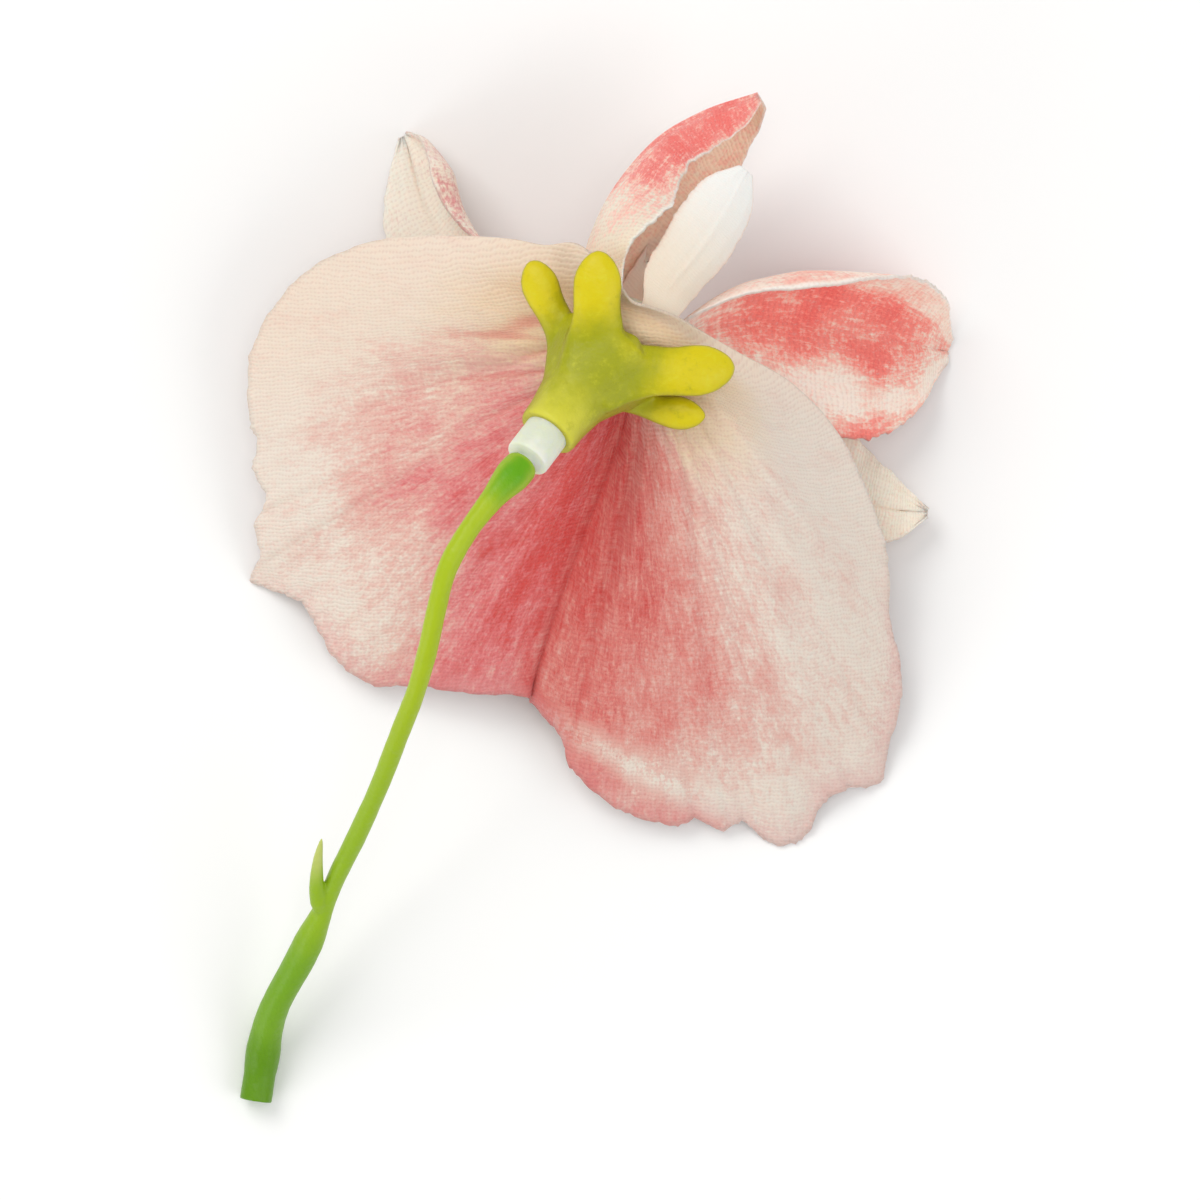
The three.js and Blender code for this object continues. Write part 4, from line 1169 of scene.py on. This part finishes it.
flecks = (streaks * 0.5 + speckle * 0.6).step(0.0, 0.9) * ink.step(0.2, 0.6)
ragged = blotch * 0.03 + speckle * 0.022 + streaks * 0.02
torn = (across * -1.0 + ragged).step(0.94, 0.985) * (only(2) + only(3))
tone = b.coats(
    b.mix((1.0 - along.step(0.1, 0.5)) * 0.5, ivory, warm_cream),
    # Painted light: the inside of the folded lobe is lifted to a bright apricot against the shade in the
    # fold.
    (only(2) * across.step(0.0, 0.25), apricot_painted_light),
    (only(3), flush),
    # Lobe 4's own cream, lifted brighter as painted light against the banner's shade over it.
    (only(4), shell_painted_light),
    # Painted light: the light ink on all lobes but the first is a blush lifted brighter against the folds'
    # shade.
    (ink.step(0.02, 0.46), b.mix(only(1), blush_painted_light, magenta)),
    # Painted light: the right lobe's coral is lifted brighter against the shade of its rolled rim.
    (ink.step(0.34, 0.78), b.mix(only(3), coral, coral_painted_light)),
    (ink.step(0.62, 1.1), deep_coral),
    (flecks * 0.5, b.mix(only(3), white_cloth, flush)),
    (torn * (blotch * 0.3 + 0.7).step(0.2, 0.9) * 0.85, peach),
)
finish_cloth(b, tone, flat, glow=0.6)
b.dress(wings)

# %% [markdown]
# The keel is left nearly white, with a warm claw and a faint blush along its cut edge. Its cloth is finer, so
# the threads show less.

# %% The keel's finish
b = Bench("plain_keel_cloth")
flat = b.place("cloth")
side = b.layer("across")
edge = (side * side + b.spread(flat, 1.2) * 0.08).step(0.7, 1.0)
warm_claw = (1.0 - b.layer("along").step(0.2, 0.95)) * 0.55
tone = b.coats(white_cloth, (warm_claw, warm_cream), (edge * 0.5, colour(0.9, 0.62, 0.5)))
finish_cloth(b, tone, flat, depth=0.35)
b.dress(keel)

# %% [markdown]
# ## Moulded plastic
# The calyx, the peg and the stalk are soft plastic that lets a little light in, with a satin shine and a
# faint orange-peel surface. What they share is one function, and each piece then gets its own colours.

# %% Plastic finish
PLASTIC_RELIEF = 0.00028


def finish_plastic(bench, tone, roughness, shine=0.3, glow=0.15):
    """What every moulding shares: an uneven satin surface with a little light below it."""
    place = bench.inside()
    peel = bench.noise(place, 1500.0, 3)
    lumps = bench.noise(place, 480.0, 4, 0.6)
    mottle = bench.noise(place, 260.0, 3)
    bench.set(Base_Color=tone, Roughness=mottle * 0.2 + (roughness - 0.1))
    bench.set(Subsurface_Weight=glow, Subsurface_Radius=(0.0011, 0.0009, 0.0003), Subsurface_Scale=1.0)
    bench.set(Specular_IOR_Level=shine, Coat_Weight=0.04, Coat_Roughness=0.3)
    bench.bump(peel * 0.35 + lumps * 0.9, PLASTIC_RELIEF, 0.75)


print("orange-peel relief:", round(PLASTIC_RELIEF * 1000, 2), "mm")

# %% [markdown]
# The calyx is a pale yellow-green at its foot, greener towards its mouth, and yellow at the tips of its
# tongues. The funnel's green is its own colour, deepened further by painted shade. Lighter and darker clouds
# break it up, and painted shade makes its sides darker than what faces up.

# %% Calyx colours
b = Bench("calyx_plastic")
cloud = b.spread(b.inside(), 330.0, 4, 0.6)
grain = b.spread(b.inside(), 1100.0, 4, 0.7)
along, reach, up = b.layer("along"), b.layer("reach"), b.layer("up")
tone = b.coats(
    colour(0.63, 0.60, 0.05),
    # The funnel's own green, deepened by painted shade.
    ((along + cloud * 1.2).step(-11.2, -5.5), colour(0.33, 0.345, 0.0)),
    ((reach + cloud * 0.7).step(4.6, 8.4), colour(0.66, 0.55, 0.0)),
    ((cloud * 0.5 + grain * 0.7).step(0.0, 1.0) * 0.45, colour(0.66, 0.64, 0.03)),
    # Painted shade: the sides that face away from the top are darker.
    ((1.0 - (up + cloud * 0.08).step(0.15, 0.8)) * 0.75, colour(0.30, 0.26, 0.004)),
    ((cloud * -0.5 + grain * -0.7).step(0.1, 1.0) * 0.5, colour(0.31, 0.31, 0.006)),
)
finish_plastic(b, tone, 0.42)
b.dress(calyx)

# %% [markdown]
# The peg is milky white. The stalk goes from bright green at the cup over lime in its thin part to a deep
# green at the foot, and its bract has a yellow tip.

# %% Peg and stalk colours
b = Bench("peg_plastic")
milky = b.noise(b.inside(), 300.0, 3).step(0.35, 0.65)
tone = b.mix(milky, colour(0.78, 0.79, 0.72), colour(0.7, 0.74, 0.6))
finish_plastic(b, tone, 0.38, shine=0.45, glow=0.5)
b.dress(peg)

b = Bench("stalk_plastic")
cloud = b.noise(b.inside(), 180.0, 4, 0.6) - 0.5
run = b.layer("along") + cloud * 0.06
# Painted light: the cup's sides, which face away from the top, are made a lighter lime than its top.
cup_sides_painted_light = (1.0 - b.layer("up").step(0.5, 0.9)) * (1.0 - run.step(0.05, 0.09))
tone = b.coats(
    colour(0.12, 0.37, 0.0),
    (run.step(0.03, 0.10), colour(0.38, 0.50, 0.006)),
    (run.step(0.3, 0.6), colour(0.28, 0.45, 0.01)),
    (run.step(0.66, 0.78), colour(0.17, 0.36, 0.01)),
    (run.step(0.86, 0.92), colour(0.11, 0.27, 0.0)),
    (cup_sides_painted_light * 0.7, colour(0.36, 0.50, 0.01)),
    (b.layer("bract") * 0.8, colour(0.55, 0.6, 0.17)),
)
finish_plastic(b, tone, 0.4)
b.dress(stalk)
print("materials:", [m.name for m in bpy.data.materials])

# %% [markdown]
